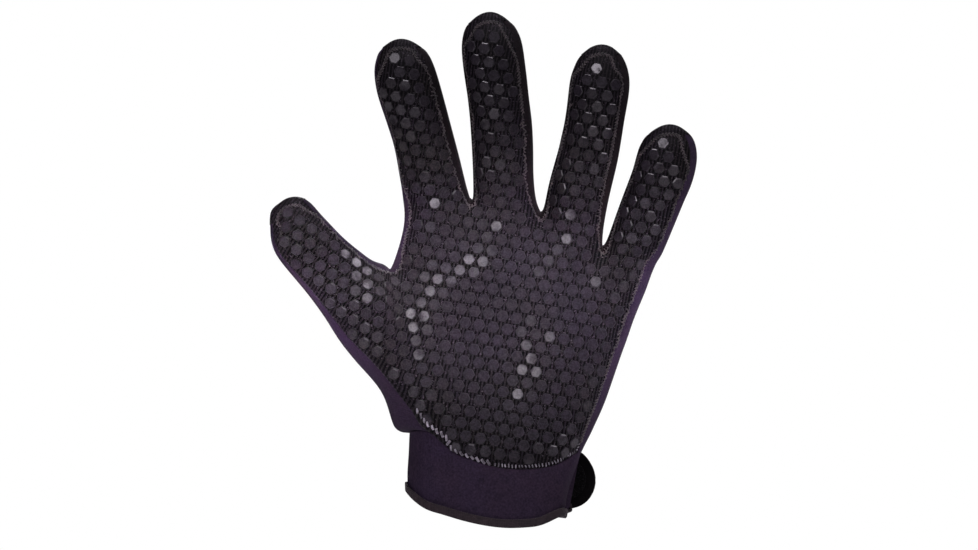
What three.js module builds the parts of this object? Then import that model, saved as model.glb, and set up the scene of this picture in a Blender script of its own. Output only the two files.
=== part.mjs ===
import * as THREE from 'three';

// A left-hand sport glove of neoprene with a knitted grip palm, held open as it is on a hand.
// Millimetres. X runs from the thumb side to the little-finger side, Z from the hem to the
// fingertips, and the palm faces -Y. The origin is the middle of the wrist opening.

// Wall thickness of each cloth, and the open seam left between two neighbouring pieces.
const PALM_WALL = 2.2;
const BACK_WALL = 2.2;
const GUSSET_WALL = 1.8;
const CUFF_WALL = 2.5;
const SEAM_GAP = 0.3;

// Roundness of the hand's cross sections: 2 is an ellipse, more is squarer.
const HAND_ROUNDNESS = 2.4;
const THUMB_ROUNDNESS = 2.2;

// Levels of the hand from the wrist seam to the thumb's crotch. leftX, leftZ and rightX, rightZ are
// the outer ends of the level as seen from the palm, seamLeft and seamRight how far the palm panel's
// edges lie inside them, backLeft and backRight the same for the outermost lines of the back.
// splits are the lines that lead up to the three finger crotches, as shares of the palm panel.
// sagFront and sagBack lower the middle of the level, seamLift raises its first palm point, front
// and back are the depths from the level's middle, and hollow is the dip in the middle of the palm.
const HAND_LEVELS = [
  { leftX: -33.9, leftZ: 33.7, rightX: 41.4, rightZ: 24.6, seamLeft: 9.3, seamRight: 1.6,
    backLeft: 5, backRight: 5, splits: [0.25, 0.5, 0.75], sagFront: -10.4, sagBack: -3,
    seamLift: 1.2, front: 22, back: 22, middle: 0, hollow: 0 },
  { leftX: -41.4, leftZ: 37.0, rightX: 46.0, rightZ: 33.4, seamLeft: 9.3, seamRight: 3.4,
    backLeft: 7, backRight: 6, splits: [0.25, 0.5, 0.75], sagFront: -6.5, sagBack: -2,
    seamLift: 5, front: 24, back: 20.5, middle: 0, hollow: 2 },
  { leftX: -58, leftZ: 62, rightX: 51, rightZ: 44.9, seamLeft: 23, seamRight: 3.6,
    backLeft: 20, backRight: 7, splits: [0.25, 0.51, 0.76], sagFront: -5, sagBack: -2,
    seamLift: 0, front: 24, back: 18.5, middle: 0, hollow: 5 },
  { leftX: -60, leftZ: 78, rightX: 56.8, rightZ: 60.7, seamLeft: 23, seamRight: 3.8,
    backLeft: 20, backRight: 7, splits: [0.25, 0.52, 0.77], sagFront: -4, sagBack: 0,
    seamLift: 0, front: 22, back: 17, middle: 0, hollow: 6 },
  { leftX: -60, leftZ: 93, rightX: 62.0, rightZ: 75.7, seamLeft: 21, seamRight: 4,
    backLeft: 19, backRight: 7, splits: [0.26, 0.53, 0.78], sagFront: -2, sagBack: 1,
    seamLift: 0, front: 19, back: 16, middle: 0, hollow: 5 },
  { leftX: -41.8, leftZ: 105.6, rightX: 66.9, rightZ: 88.9, seamLeft: 3.2, seamRight: 4,
    backLeft: 7, backRight: 7, splits: [0.26, 0.545, 0.79], sagFront: 0.5, sagBack: 2,
    seamLift: 0, front: 16.5, back: 15, middle: 0, hollow: 2 },
];
// Where the dip in the middle of the palm lies across it, and how wide it is, as shares of a level.
const HOLLOW_PLACE = 0.56;
const HOLLOW_SPREAD = 0.2;
// How flat the sag of a level is over its middle, and how fast the lift of its seam dies away.
const SAG_FLATNESS = 0.8;
const LIFT_DECAY = 6;
// How much the palm swells between the thumb's crotch and the finger roots.
const PALM_SWELL = 1.04;

// The level at the roots of the fingers: its two ends and the three crotches between the fingers.
const ROOT_LEFT = { x: -35.7, z: 129.8 };
const ROOT_RIGHT = { x: 74.4, z: 107.4 };
// How far out the web above the thumb's crotch stands.
const WEB_X = -37;
const CROTCHES = [
  { x: -7.3, z: 135.9 },
  { x: 23.7, z: 129.8 },
  { x: 50.6, z: 115.0 },
];
const ROOT = {
  crotchFront: 7, crotchFrontDrop: 3.5, crotchBack: 8, crotchBackDrop: 6,
  pad: 12.6, padDrop: 1.5, knuckle: 12.5, seamLeft: 2, seamRight: 4.2,
  seamFront: 6, backInset: 6, backEdge: 8, endStep: 1,
};

// Fingers, index to little: the middle of each section, half its width and depth, and how far it
// stands towards the palm. The last entry of each is the very tip.
const FINGERS = [
  { sections: [
    { x: -24.6, z: 147.6, width: 13.7, depth: 11.2, y: -1 },
    { x: -28.6, z: 165.0, width: 13.2, depth: 10.8, y: -3 },
    { x: -33.8, z: 182.8, width: 13.6, depth: 10.3, y: -6 },
    { x: -36.8, z: 195.4, width: 12.4, depth: 9.3, y: -8.5 },
    { x: -37.1, z: 202.0, width: 8.6, depth: 6.6, y: -9.8 },
  ], tip: { x: -36.9, z: 205.8, y: -10.5 } },
  { sections: [
    { x: 7.5, z: 141.9, width: 13.2, depth: 11.5, y: -1 },
    { x: 6.8, z: 161.9, width: 13.3, depth: 11, y: -3 },
    { x: 4.8, z: 183.0, width: 13.2, depth: 10.5, y: -6 },
    { x: 2.1, z: 203.3, width: 13.0, depth: 9.6, y: -9 },
    { x: 0.8, z: 213.0, width: 8.9, depth: 6.6, y: -10.3 },
  ], tip: { x: 1.0, z: 217.6, y: -11 } },
  { sections: [
    { x: 40.0, z: 136.4, width: 13.4, depth: 11, y: -1 },
    { x: 44.7, z: 155.8, width: 13.1, depth: 10.6, y: -3 },
    { x: 47.9, z: 173.6, width: 12.8, depth: 10.2, y: -6 },
    { x: 49.8, z: 188.3, width: 12.8, depth: 9.4, y: -8.5 },
    { x: 50.2, z: 198.7, width: 8.8, depth: 6.6, y: -9.8 },
  ], tip: { x: 50.0, z: 203.4, y: -10.5 } },
  { sections: [
    { x: 66.9, z: 119.5, width: 12.5, depth: 10, y: -1 },
    { x: 73.3, z: 136.1, width: 12.8, depth: 9.6, y: -3 },
    { x: 77.2, z: 146.1, width: 13.1, depth: 9.4, y: -5 },
    { x: 79.6, z: 156.6, width: 12.6, depth: 9, y: -7 },
    { x: 80.1, z: 163.9, width: 9.2, depth: 6.4, y: -8.3 },
  ], tip: { x: 79.9, z: 168.5, y: -9 } },
];
// Angles of a finger section's eight points in degrees, from the little-finger side: palm seam, pad,
// palm seam, side, back seam, back, back seam, side. The seams are turned towards the thumb.
const FINGER_ANGLES = [-161, -101, -42, 4, 40, 90, 140, 170];
const FINGER_TIP_ANGLES = [-155, -100, -46, -16, 26, 90, 148, 182];
// How far the seam over a fingertip lies on the palm side of the very tip.
const TIP_SEAM_FRONT = 3.2;

// Thumb, from its base to near its tip: the lower and upper ends of each section as seen from the
// palm, its depths to the palm and to the back, how far it stands towards the palm, and where the
// palm panel's edges lie as shares of the section.
const THUMB_SECTIONS = [
  { lowX: -46.6, lowZ: 51.6, highX: -44.4, highZ: 106.3, front: 20, back: 15, y: -4,
    seamLow: 0.16, seamHigh: 0.96 },
  { lowX: -60.6, lowZ: 68.4, highX: -49.7, highZ: 108.2, front: 16.5, back: 14, y: -6,
    seamLow: 0.13, seamHigh: 0.96 },
  { lowX: -72.6, lowZ: 85.8, highX: -55.4, highZ: 112.2, front: 13.5, back: 13, y: -8,
    seamLow: 0.1, seamHigh: 0.96 },
  { lowX: -84.5, lowZ: 101.2, highX: -63.1, highZ: 118.9, front: 12, back: 12, y: -10,
    seamLow: 0.08, seamHigh: 0.96 },
  { lowX: -93.3, lowZ: 113.5, highX: -72.6, highZ: 128.9, front: 11, back: 11, y: -11.5,
    seamLow: 0.07, seamHigh: 0.95 },
  { lowX: -94.9, lowZ: 124.2, highX: -79.3, highZ: 135.6, front: 7.4, back: 7, y: -12.5,
    seamLow: 0.06, seamHigh: 0.94 },
];
const THUMB_FRONT_SHARES = [0.27, 0.5, 0.74];
const THUMB_BACK_SHARES = [0.1, 0.3, 0.5, 0.7, 0.9];
const THUMB_TIP_SHARES = [0.25, 0.5, 0.75];
const THUMB_TIP = { x: -90.6, z: 133.9, y: -13, seamFront: 2.6 };

// Levels of the cuff from its hem up to the wrist seam. The slit on the little-finger side runs
// between the front edge and the back edge of the cuff.
const CUFF_LEVELS = [
  { leftX: -34.7, leftZ: 8.6, rightX: 38.6, seamLeft: 7, backLeft: 5,
    frontEdge: { x: 33.9, y: -9, z: -2.8 }, backEdge: { x: 36.6, y: 9.5, z: -0.6 },
    sagFront: -8.6, sagBack: -7, seamLift: -5, front: 22, back: 21.5 },
  { leftX: -34.9, leftZ: 16.5, rightX: 39.4, seamLeft: 8, backLeft: 5,
    frontEdge: { x: 35.6, y: -7, z: 7 }, backEdge: { x: 38.2, y: 7, z: 8 },
    sagFront: -9.2, sagBack: -5, seamLift: -2.5, front: 21.8, back: 21.5 },
  { leftX: -34.2, leftZ: 25.4, rightX: 40.6, seamLeft: 8.8, backLeft: 5,
    frontEdge: { x: 38.9, y: -4, z: 17 }, backEdge: { x: 39.8, y: 4, z: 17 },
    sagFront: -9.8, sagBack: -4, seamLift: 0, front: 21.8, back: 21.8 },
];
const CUFF_TOP_SLIT = 1.2;
// The cuff's inner lines as shares of its front, and how far its outermost lines lie inside its ends.
const CUFF_SPLITS = [0.25, 0.5, 0.75];
const CUFF_FRONT_INSET = 2.4;
const CUFF_BACK_INSET = 5;

// The folded tape round the hem: how far it stands off the cuff, its thickness, its height above
// and its depth below the cuff's lower edge, and the rounding of its fold.
const BINDING = { standOff: 0.4, tape: 1.0, above: 2.3, below: 1.4, round: 0.6 };

// The strap over the back of the cuff: root and tip along X, width, thickness, where it leaves the
// cuff, how far it stands off the cuff, and the heights of its middle line at root and tip.
const STRAP = {
  rootX: -22, leaveX: 19, tipX: 47.6, width: 27.2, thickness: 2.2, standOff: 1.8,
  rootZ: 18, tipZ: 11.4, bodySteps: 12, endSteps: 7, acrossSteps: 4, endTurn: 84,
};
// The hook tape on the strap's inner face.
const HOOK = { startX: 30.5, radius: 9.6, thickness: 1.1, standOff: 0.3, bodySteps: 2, endSteps: 5 };

// A cage of four-sided faces, each with the name of the piece that it belongs to.
class Cage {
  constructor() {
    this.points = [];
    this.faces = [];
  }

  point(x, y, z) {
    this.points.push(new THREE.Vector3(x, y, z));
    return this.points.length - 1;
  }

  face(a, b, c, d, piece) {
    this.faces.push({ corners: [a, b, c, d], piece });
  }

  // Joins two rings of equal length with one strip of faces, leaving out strips named null.
  strip(lower, upper, pieces, closed = true) {
    const count = closed ? lower.length : lower.length - 1;
    for (let i = 0; i < count; i += 1) {
      const next = (i + 1) % lower.length;
      if (pieces[i]) {
        this.face(lower[i], lower[next], upper[next], upper[i], pieces[i]);
      }
    }
  }
}

function edgeKey(a, b) {
  return a < b ? `${a},${b}` : `${b},${a}`;
}

// Lists for each point its faces, its neighbours and the far corners of its faces.
function neighbourhood(faces, count) {
  const edges = new Map();
  const around = Array.from({ length: count }, () => ({ faces: [], ends: new Map(), far: [] }));
  faces.forEach((face, index) => {
    face.corners.forEach((corner, i) => {
      const next = face.corners[(i + 1) % 4];
      const key = edgeKey(corner, next);
      if (!edges.has(key)) {
        edges.set(key, { a: corner, b: next, faces: [] });
      }
      edges.get(key).faces.push(index);
      around[corner].faces.push(index);
      around[corner].far.push(face.corners[(i + 2) % 4]);
    });
  });
  for (const edge of edges.values()) {
    const open = edge.faces.length === 1;
    around[edge.a].ends.set(edge.b, open);
    around[edge.b].ends.set(edge.a, open);
  }
  return { edges, around };
}

// Points of the smooth surface that repeated subdivision of the cage would reach.
function limitPoints(points, around) {
  return points.map((point, index) => {
    const place = around[index];
    const openEnds = [...place.ends].filter(([, open]) => open).map(([end]) => end);
    if (openEnds.length > 0) {
      if (place.faces.length === 1) {
        return point.clone();
      }
      const sum = point.clone().multiplyScalar(4);
      openEnds.forEach((end) => sum.add(points[end]));
      return sum.divideScalar(4 + openEnds.length);
    }
    const valence = place.faces.length;
    const sum = point.clone().multiplyScalar(valence * valence);
    for (const end of place.ends.keys()) {
      sum.addScaledVector(points[end], 4);
    }
    place.far.forEach((end) => sum.add(points[end]));
    return sum.divideScalar(valence * (valence + 5));
  });
}

const FIT_ROUNDS = 14;
const FIT_STEP = 0.85;

// Moves the cage until its smooth surface passes through the places that were given for its points.
function fitCage(cage) {
  const { around } = neighbourhood(cage.faces, cage.points.length);
  const targets = cage.points.map((point) => point.clone());
  let points = cage.points;
  for (let round = 0; round < FIT_ROUNDS; round += 1) {
    const reached = limitPoints(points, around);
    points = points.map((point, i) => point.clone()
      .addScaledVector(targets[i].clone().sub(reached[i]), FIT_STEP));
  }
  return { points, faces: cage.faces };
}

// One round of Catmull-Clark subdivision. Each new face keeps its piece.
function subdivide(surface) {
  const { points, faces } = surface;
  const { edges, around } = neighbourhood(faces, points.length);
  const centres = faces.map((face) => face.corners
    .reduce((sum, corner) => sum.add(points[corner]), new THREE.Vector3()).divideScalar(4));
  const moved = points.map((point, index) => {
    const place = around[index];
    const openEnds = [...place.ends].filter(([, open]) => open).map(([end]) => end);
    if (openEnds.length > 0) {
      if (place.faces.length === 1) {
        return point.clone();
      }
      const sum = point.clone().multiplyScalar(6);
      openEnds.forEach((end) => sum.add(points[end]));
      return sum.divideScalar(6 + openEnds.length);
    }
    const valence = place.faces.length;
    const sum = point.clone().multiplyScalar((valence - 2) / valence);
    for (const end of place.ends.keys()) {
      sum.addScaledVector(points[end], 1 / (valence * valence));
    }
    place.faces.forEach((face) => sum.addScaledVector(centres[face], 1 / (valence * valence)));
    return sum;
  });
  const all = [...moved, ...centres];
  const middles = new Map();
  for (const [key, edge] of edges) {
    const middle = points[edge.a].clone().add(points[edge.b]);
    if (edge.faces.length === 2) {
      edge.faces.forEach((face) => middle.add(centres[face]));
      middle.divideScalar(4);
    } else {
      middle.divideScalar(2);
    }
    middles.set(key, all.length);
    all.push(middle);
  }
  const quarters = [];
  faces.forEach((face, index) => {
    const centre = points.length + index;
    face.corners.forEach((corner, i) => {
      const after = middles.get(edgeKey(corner, face.corners[(i + 1) % 4]));
      const before = middles.get(edgeKey(face.corners[(i + 3) % 4], corner));
      quarters.push({ corners: [corner, after, centre, before], piece: face.piece });
    });
  });
  return { points: all, faces: quarters };
}

// Open edges above this height belong to the wrist seam, where the hand and the cuff meet level.
const WRIST_SEAM_FLOOR = 17;

// The smooth surface of a cage: points, outward normals and small faces.
function smoothSurface(cage) {
  const fine = subdivide(fitCage(cage));
  const { around } = neighbourhood(fine.faces, fine.points.length);
  const points = limitPoints(fine.points, around);
  const normals = points.map(() => new THREE.Vector3());
  for (const face of fine.faces) {
    const [a, b, c, d] = face.corners.map((corner) => points[corner]);
    const normal = c.clone().sub(a).cross(d.clone().sub(b));
    face.corners.forEach((corner) => normals[corner].add(normal));
  }
  for (const corner of openEdges(fine.faces).keys()) {
    if (points[corner].z > WRIST_SEAM_FLOOR) {
      normals[corner].setZ(0);
    }
  }
  normals.forEach((normal) => normal.normalize());
  return { points, normals, faces: fine.faces };
}

// Triangles of a solid, gathered point by point.
class Triangles {
  constructor() {
    this.positions = [];
    this.index = [];
  }

  add(point) {
    this.positions.push(point.x, point.y, point.z);
    return this.positions.length / 3 - 1;
  }

  at(i) {
    return new THREE.Vector3().fromArray(this.positions, i * 3);
  }

  // A four-sided face, split along its shorter diagonal.
  quad(a, b, c, d) {
    if (this.at(a).distanceTo(this.at(c)) <= this.at(b).distanceTo(this.at(d))) {
      this.index.push(a, b, c, a, c, d);
    } else {
      this.index.push(a, b, d, b, c, d);
    }
  }

  geometry() {
    const geometry = new THREE.BufferGeometry();
    geometry.setAttribute('position', new THREE.Float32BufferAttribute(this.positions, 3));
    geometry.setIndex(this.index);
    geometry.computeVertexNormals();
    return geometry;
  }
}

// The open edges of some faces as a map from each edge's start to its end.
function openEdges(faces) {
  const directed = new Set();
  faces.forEach((face) => face.corners.forEach((corner, i) => {
    directed.add(`${corner},${face.corners[(i + 1) % 4]}`);
  }));
  const next = new Map();
  for (const key of directed) {
    const [start, end] = key.split(',').map(Number);
    if (!directed.has(`${end},${start}`)) {
      next.set(start, end);
    }
  }
  return next;
}

// A seam's corner is drawn back by no more than the gap's half over this share.
const SHARPEST_CORNER = 0.3;

// One cloth piece: its faces of the smooth surface, drawn back from its seams by half the seam gap
// and given a wall towards the inside.
function clothPiece(surface, piece, wall) {
  const faces = surface.faces.filter((face) => face.piece === piece);
  const next = openEdges(faces);
  const before = new Map([...next].map(([start, end]) => [end, start]));
  const corners = [...new Set(faces.flatMap((face) => face.corners))];
  const solid = new Triangles();
  const outer = new Map();
  const inner = new Map();
  for (const corner of corners) {
    const point = surface.points[corner].clone();
    const normal = surface.normals[corner];
    if (next.has(corner)) {
      const into = surface.points[corner].clone().sub(surface.points[before.get(corner)]);
      const onward = surface.points[next.get(corner)].clone().sub(surface.points[corner]);
      const first = normal.clone().cross(into).normalize();
      const second = normal.clone().cross(onward).normalize();
      const back = first.clone().add(second).divideScalar(Math.max(SHARPEST_CORNER, 1 + first.dot(second)));
      point.addScaledVector(back, SEAM_GAP / 2);
    }
    outer.set(corner, solid.add(point));
    inner.set(corner, solid.add(point.clone().addScaledVector(normal, -wall)));
  }
  for (const face of faces) {
    const [a, b, c, d] = face.corners;
    solid.quad(outer.get(a), outer.get(b), outer.get(c), outer.get(d));
    solid.quad(inner.get(d), inner.get(c), inner.get(b), inner.get(a));
  }
  // Both neighbours of a seam split its sides the same way, so that a twisted seam stays open.
  for (const [start, end] of next) {
    const ring = [inner.get(start), inner.get(end), outer.get(end), outer.get(start)];
    const turn = start < end ? 1 : 0;
    const [a, b, c, d] = [0, 1, 2, 3].map((i) => ring[(i + turn) % 4]);
    solid.index.push(a, b, c, a, c, d);
  }
  return solid.geometry();
}

// Depth of a rounded section at a share of its width, as a part of its greatest depth.
function roundDepth(share, roundness) {
  const off = Math.min(1, Math.abs(2 * share - 1));
  return (1 - off ** roundness) ** (1 / roundness);
}

// A bulge that is nothing at both ends of a level and one in its middle.
function bow(share) {
  return Math.max(0, 4 * share * (1 - share)) ** SAG_FLATNESS;
}

// Nine shares across the palm panel, through the lines that lead up to the crotches.
function palmShares(splits) {
  const marks = [0, ...splits, 1];
  const shares = [];
  marks.forEach((mark, i) => {
    if (i > 0) {
      shares.push((marks[i - 1] + mark) / 2);
    }
    shares.push(mark);
  });
  return shares;
}

function lerp(a, b, share) {
  return a + (b - a) * share;
}

// The two rows of nine places of a level: on the palm and on the back, from the thumb side on.
function levelPlaces(level, rightX, rightZ, fromSeamRight) {
  const span = rightX - level.leftX;
  const place = (share, seamA, seamB, sag, side, lift) => {
    const x = lerp(level.leftX + seamA, rightX - seamB, share);
    const across = (x - level.leftX) / span;
    const dip = Math.exp(-(((across - HOLLOW_PLACE) / HOLLOW_SPREAD) ** 2));
    const depth = side < 0
      ? level.front * roundDepth(across, HAND_ROUNDNESS) - level.hollow * dip
      : level.back * roundDepth(across, HAND_ROUNDNESS);
    const z = lerp(level.leftZ, rightZ, across) + sag * bow(share) + lift * (1 - share) ** LIFT_DECAY;
    return new THREE.Vector3(x, level.middle + side * depth, z);
  };
  const shares = palmShares(level.splits);
  return {
    front: shares.map((s) => place(s, level.seamLeft, fromSeamRight, level.sagFront, -1, level.seamLift)),
    back: shares.map((s) => place(s, level.backLeft, level.backRight, level.sagBack, 1, 0)),
  };
}

// The places of the level at the finger roots.
function rootPlaces() {
  const front = [];
  const back = [];
  const corner = (end, inset, y, lift) => new THREE.Vector3(end.x + inset, y, end.z + lift);
  const leftFront = corner(ROOT_LEFT, ROOT.seamLeft, -ROOT.seamFront, 0);
  const rightFront = corner(ROOT_RIGHT, -ROOT.seamRight, -ROOT.seamFront, ROOT.endStep);
  const leftBack = corner(ROOT_LEFT, ROOT.backInset, ROOT.backEdge, -ROOT.endStep);
  const rightBack = corner(ROOT_RIGHT, -ROOT.backInset, ROOT.backEdge, -ROOT.endStep);
  const marksFront = [leftFront, ...CROTCHES.map((crotch) => new THREE.Vector3(
    crotch.x, -ROOT.crotchFront, crotch.z - ROOT.crotchFrontDrop)), rightFront];
  const marksBack = [leftBack, ...CROTCHES.map((crotch) => new THREE.Vector3(
    crotch.x, ROOT.crotchBack, crotch.z - ROOT.crotchBackDrop)), rightBack];
  marksFront.forEach((mark, i) => {
    if (i > 0) {
      const pad = marksFront[i - 1].clone().lerp(mark, 0.5);
      front.push(pad.setY(-ROOT.pad).setZ(pad.z - ROOT.padDrop));
    }
    front.push(mark);
  });
  marksBack.forEach((mark, i) => {
    if (i > 0) {
      back.push(marksBack[i - 1].clone().lerp(mark, 0.5).setY(ROOT.knuckle));
    }
    back.push(mark);
  });
  return { front, back };
}

// Adds a level's ring to the cage: palm, little-finger side, back, and the thumb side if it has one.
function levelRing(cage, places, right, left) {
  const add = (p) => cage.point(p.x, p.y, p.z);
  const front = places.front.map(add);
  const sideRight = add(right);
  const back = places.back.map(add);
  const sideLeft = left ? add(left) : -1;
  return { front, sideRight, back, sideLeft };
}

function ringOf(row) {
  return [...row.front, row.sideRight, ...[...row.back].reverse(), row.sideLeft];
}

const PALM_COLUMNS = 8;
const PALM = 'palm_panel';
const BACK = 'back_panel';
const CUFF = 'cuff';
const GUSSETS = ['gusset_index_middle', 'gusset_middle_ring', 'gusset_ring_little'];

// Adds one finger above its root ring: five sections and a rounded end.
function addFinger(cage, rootRing, finger, leftPiece, rightPiece) {
  const pieces = [PALM, PALM, rightPiece, rightPiece, BACK, BACK, leftPiece, leftPiece];
  const { sections, tip } = finger;
  const root = { x: 0, z: 0 };
  [0, 2].forEach((i) => {
    root.x += cage.points[rootRing[i]].x / 2;
    root.z += cage.points[rootRing[i]].z / 2;
  });
  const line = [root, ...sections, tip];
  let ring = rootRing;
  sections.forEach((section, i) => {
    const along = new THREE.Vector2(line[i + 2].x - line[i].x, line[i + 2].z - line[i].z).normalize();
    const angles = i === sections.length - 1 ? FINGER_TIP_ANGLES : FINGER_ANGLES;
    const upper = angles.map((degrees) => {
      const angle = THREE.MathUtils.degToRad(degrees);
      const across = section.width * Math.cos(angle);
      return cage.point(section.x + across * along.y, section.y + section.depth * Math.sin(angle),
        section.z - across * along.x);
    });
    cage.strip(ring, upper, pieces);
    ring = upper;
  });
  const end = cage.point(tip.x, tip.y - TIP_SEAM_FRONT, tip.z);
  const [f0, f1, f2, right, b2, b1, b0, left] = ring;
  cage.face(f0, f1, end, left, PALM);
  cage.face(f1, f2, right, end, PALM);
  cage.face(end, right, b2, b1, BACK);
  cage.face(left, end, b1, b0, BACK);
}

// Adds the thumb on the ring of twelve points round its opening in the side of the hand.
function addThumb(cage, rootRing) {
  const pieces = [...Array(4).fill(PALM), ...Array(8).fill(BACK)];
  let ring = rootRing;
  const place = (section, share, side) => {
    const depth = side < 0 ? section.front : section.back;
    return cage.point(lerp(section.lowX, section.highX, share),
      section.y + side * depth * roundDepth(share, THUMB_ROUNDNESS),
      lerp(section.lowZ, section.highZ, share));
  };
  for (const section of THUMB_SECTIONS) {
    const front = [section.seamLow, ...THUMB_FRONT_SHARES, section.seamHigh]
      .map((share) => place(section, share, -1));
    const high = cage.point(section.highX, section.y, section.highZ);
    const back = THUMB_BACK_SHARES.map((share) => place(section, share, 1));
    const low = cage.point(section.lowX, section.y, section.lowZ);
    const upper = [...front, high, ...[...back].reverse(), low];
    cage.strip(ring, upper, pieces);
    ring = upper;
  }
  const last = THUMB_SECTIONS[THUMB_SECTIONS.length - 1];
  const front = ring.slice(0, 5);
  const back = ring.slice(6, 11).reverse();
  const middle = [ring[11], ...THUMB_TIP_SHARES.map((share) => {
    const rise = roundDepth(share, THUMB_ROUNDNESS);
    const x = lerp(last.lowX, last.highX, share);
    const z = lerp(last.lowZ, last.highZ, share);
    const centreX = (last.lowX + last.highX) / 2;
    const centreZ = (last.lowZ + last.highZ) / 2;
    return cage.point(x + (THUMB_TIP.x - centreX) * rise, THUMB_TIP.y - THUMB_TIP.seamFront,
      z + (THUMB_TIP.z - centreZ) * rise);
  }), ring[5]];
  for (let i = 0; i < 4; i += 1) {
    cage.face(front[i], front[i + 1], middle[i + 1], middle[i], PALM);
    cage.face(middle[i], middle[i + 1], back[i + 1], back[i], BACK);
  }
}

// The whole hand above the wrist seam.
function handCage() {
  const cage = new Cage();
  const side = (x, y, z) => new THREE.Vector3(x, y, z);
  const places = HAND_LEVELS
    .map((level) => levelPlaces(level, level.rightX, level.rightZ, level.seamRight));
  const rows = HAND_LEVELS.map((level, i) => {
    const open = i > 1 && i < HAND_LEVELS.length - 1;
    return levelRing(cage, places[i], side(level.rightX, level.middle, level.rightZ),
      open ? null : side(level.leftX, level.middle, level.leftZ));
  });
  const crotchLevel = HAND_LEVELS[HAND_LEVELS.length - 1];
  const roots = rootPlaces();
  const below = places[places.length - 1];
  const between = {
    front: below.front.map((p, i) => p.clone().lerp(roots.front[i], 0.5)),
    back: below.back.map((p, i) => p.clone().lerp(roots.back[i], 0.5)),
  };
  between.front.forEach((p) => p.setY(p.y * PALM_SWELL));
  const betweenLeft = side(WEB_X, 0, lerp(crotchLevel.leftZ, ROOT_LEFT.z, 0.5));
  const betweenRight = side(lerp(crotchLevel.rightX, ROOT_RIGHT.x, 0.5), 0,
    lerp(crotchLevel.rightZ, ROOT_RIGHT.z, 0.5));
  rows.push(levelRing(cage, between, betweenRight, betweenLeft));
  rows.push(levelRing(cage, roots, side(ROOT_RIGHT.x, 0, ROOT_RIGHT.z), side(ROOT_LEFT.x, 0, ROOT_LEFT.z)));

  const pieces = [...Array(PALM_COLUMNS).fill(PALM), ...Array(PALM_COLUMNS + 4).fill(BACK)];
  const holed = [...pieces.slice(0, -2), null, null];
  const thumbLow = 1;
  const thumbHigh = HAND_LEVELS.length - 1;
  for (let i = 0; i + 1 < rows.length; i += 1) {
    const open = i >= thumbLow && i < thumbHigh;
    cage.strip(ringOf(rows[i]), ringOf(rows[i + 1]), open ? holed : pieces);
  }

  const thumbRows = rows.slice(thumbLow, thumbHigh + 1);
  addThumb(cage, [
    ...thumbRows.map((row) => row.front[0]), rows[thumbHigh].sideLeft,
    ...thumbRows.map((row) => row.back[0]).reverse(), rows[thumbLow].sideLeft,
  ]);

  const top = rows[rows.length - 1];
  const webs = CROTCHES.map((crotch) => cage.point(crotch.x, 0, crotch.z));
  FINGERS.forEach((finger, k) => {
    const left = k === 0 ? top.sideLeft : webs[k - 1];
    const right = k === FINGERS.length - 1 ? top.sideRight : webs[k];
    const first = 2 * k;
    const ring = [
      top.front[first], top.front[first + 1], top.front[first + 2], right,
      top.back[first + 2], top.back[first + 1], top.back[first], left,
    ];
    addFinger(cage, ring, finger, GUSSETS[k - 1] ?? BACK, GUSSETS[k] ?? BACK);
  });
  return cage;
}

// The cuff, an open band from the slit's front edge round the wrist to its back edge.
function cuffCage() {
  const cage = new Cage();
  const wrist = HAND_LEVELS[0];
  const levels = CUFF_LEVELS.map((level) => ({
    ...level, splits: CUFF_SPLITS, middle: 0, hollow: 0, backRight: CUFF_BACK_INSET,
    rightZ: level.frontEdge.z,
  }));
  levels.push({ ...wrist,
    frontEdge: { x: wrist.rightX, y: -CUFF_TOP_SLIT, z: wrist.rightZ },
    backEdge: { x: wrist.rightX, y: CUFF_TOP_SLIT, z: wrist.rightZ } });
  const rows = levels.map((level) => {
    const seamRight = level.seamRight ?? level.rightX - level.frontEdge.x + CUFF_FRONT_INSET;
    const places = levelPlaces(level, level.rightX, level.rightZ, seamRight);
    const add = (p) => cage.point(p.x, p.y, p.z);
    return [add(level.frontEdge), ...[...places.front].reverse().map(add),
      cage.point(level.leftX, 0, level.leftZ), ...places.back.map(add), add(level.backEdge)];
  });
  // The rows run from the little-finger side over the palm to the back, so each strip is turned.
  const pieces = Array(rows[0].length).fill(CUFF);
  for (let i = 0; i + 1 < rows.length; i += 1) {
    cage.strip(rows[i + 1], rows[i], pieces, false);
  }
  return { cage, hem: rows[0] };
}

// The lower edge of the cuff's smooth surface, in order from the slit's front edge to its back edge.
function hemLine(surface, hem) {
  const next = openEdges(surface.faces);
  const before = new Map([...next].map(([start, end]) => [end, start]));
  const start = hem[0];
  const end = hem[hem.length - 1];
  const walk = (step) => {
    const line = [start];
    while (line[line.length - 1] !== end) {
      line.push(step.get(line[line.length - 1]));
    }
    return line;
  };
  const one = walk(next);
  const other = walk(before);
  return one.includes(hem[1]) ? one : other;
}

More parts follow.
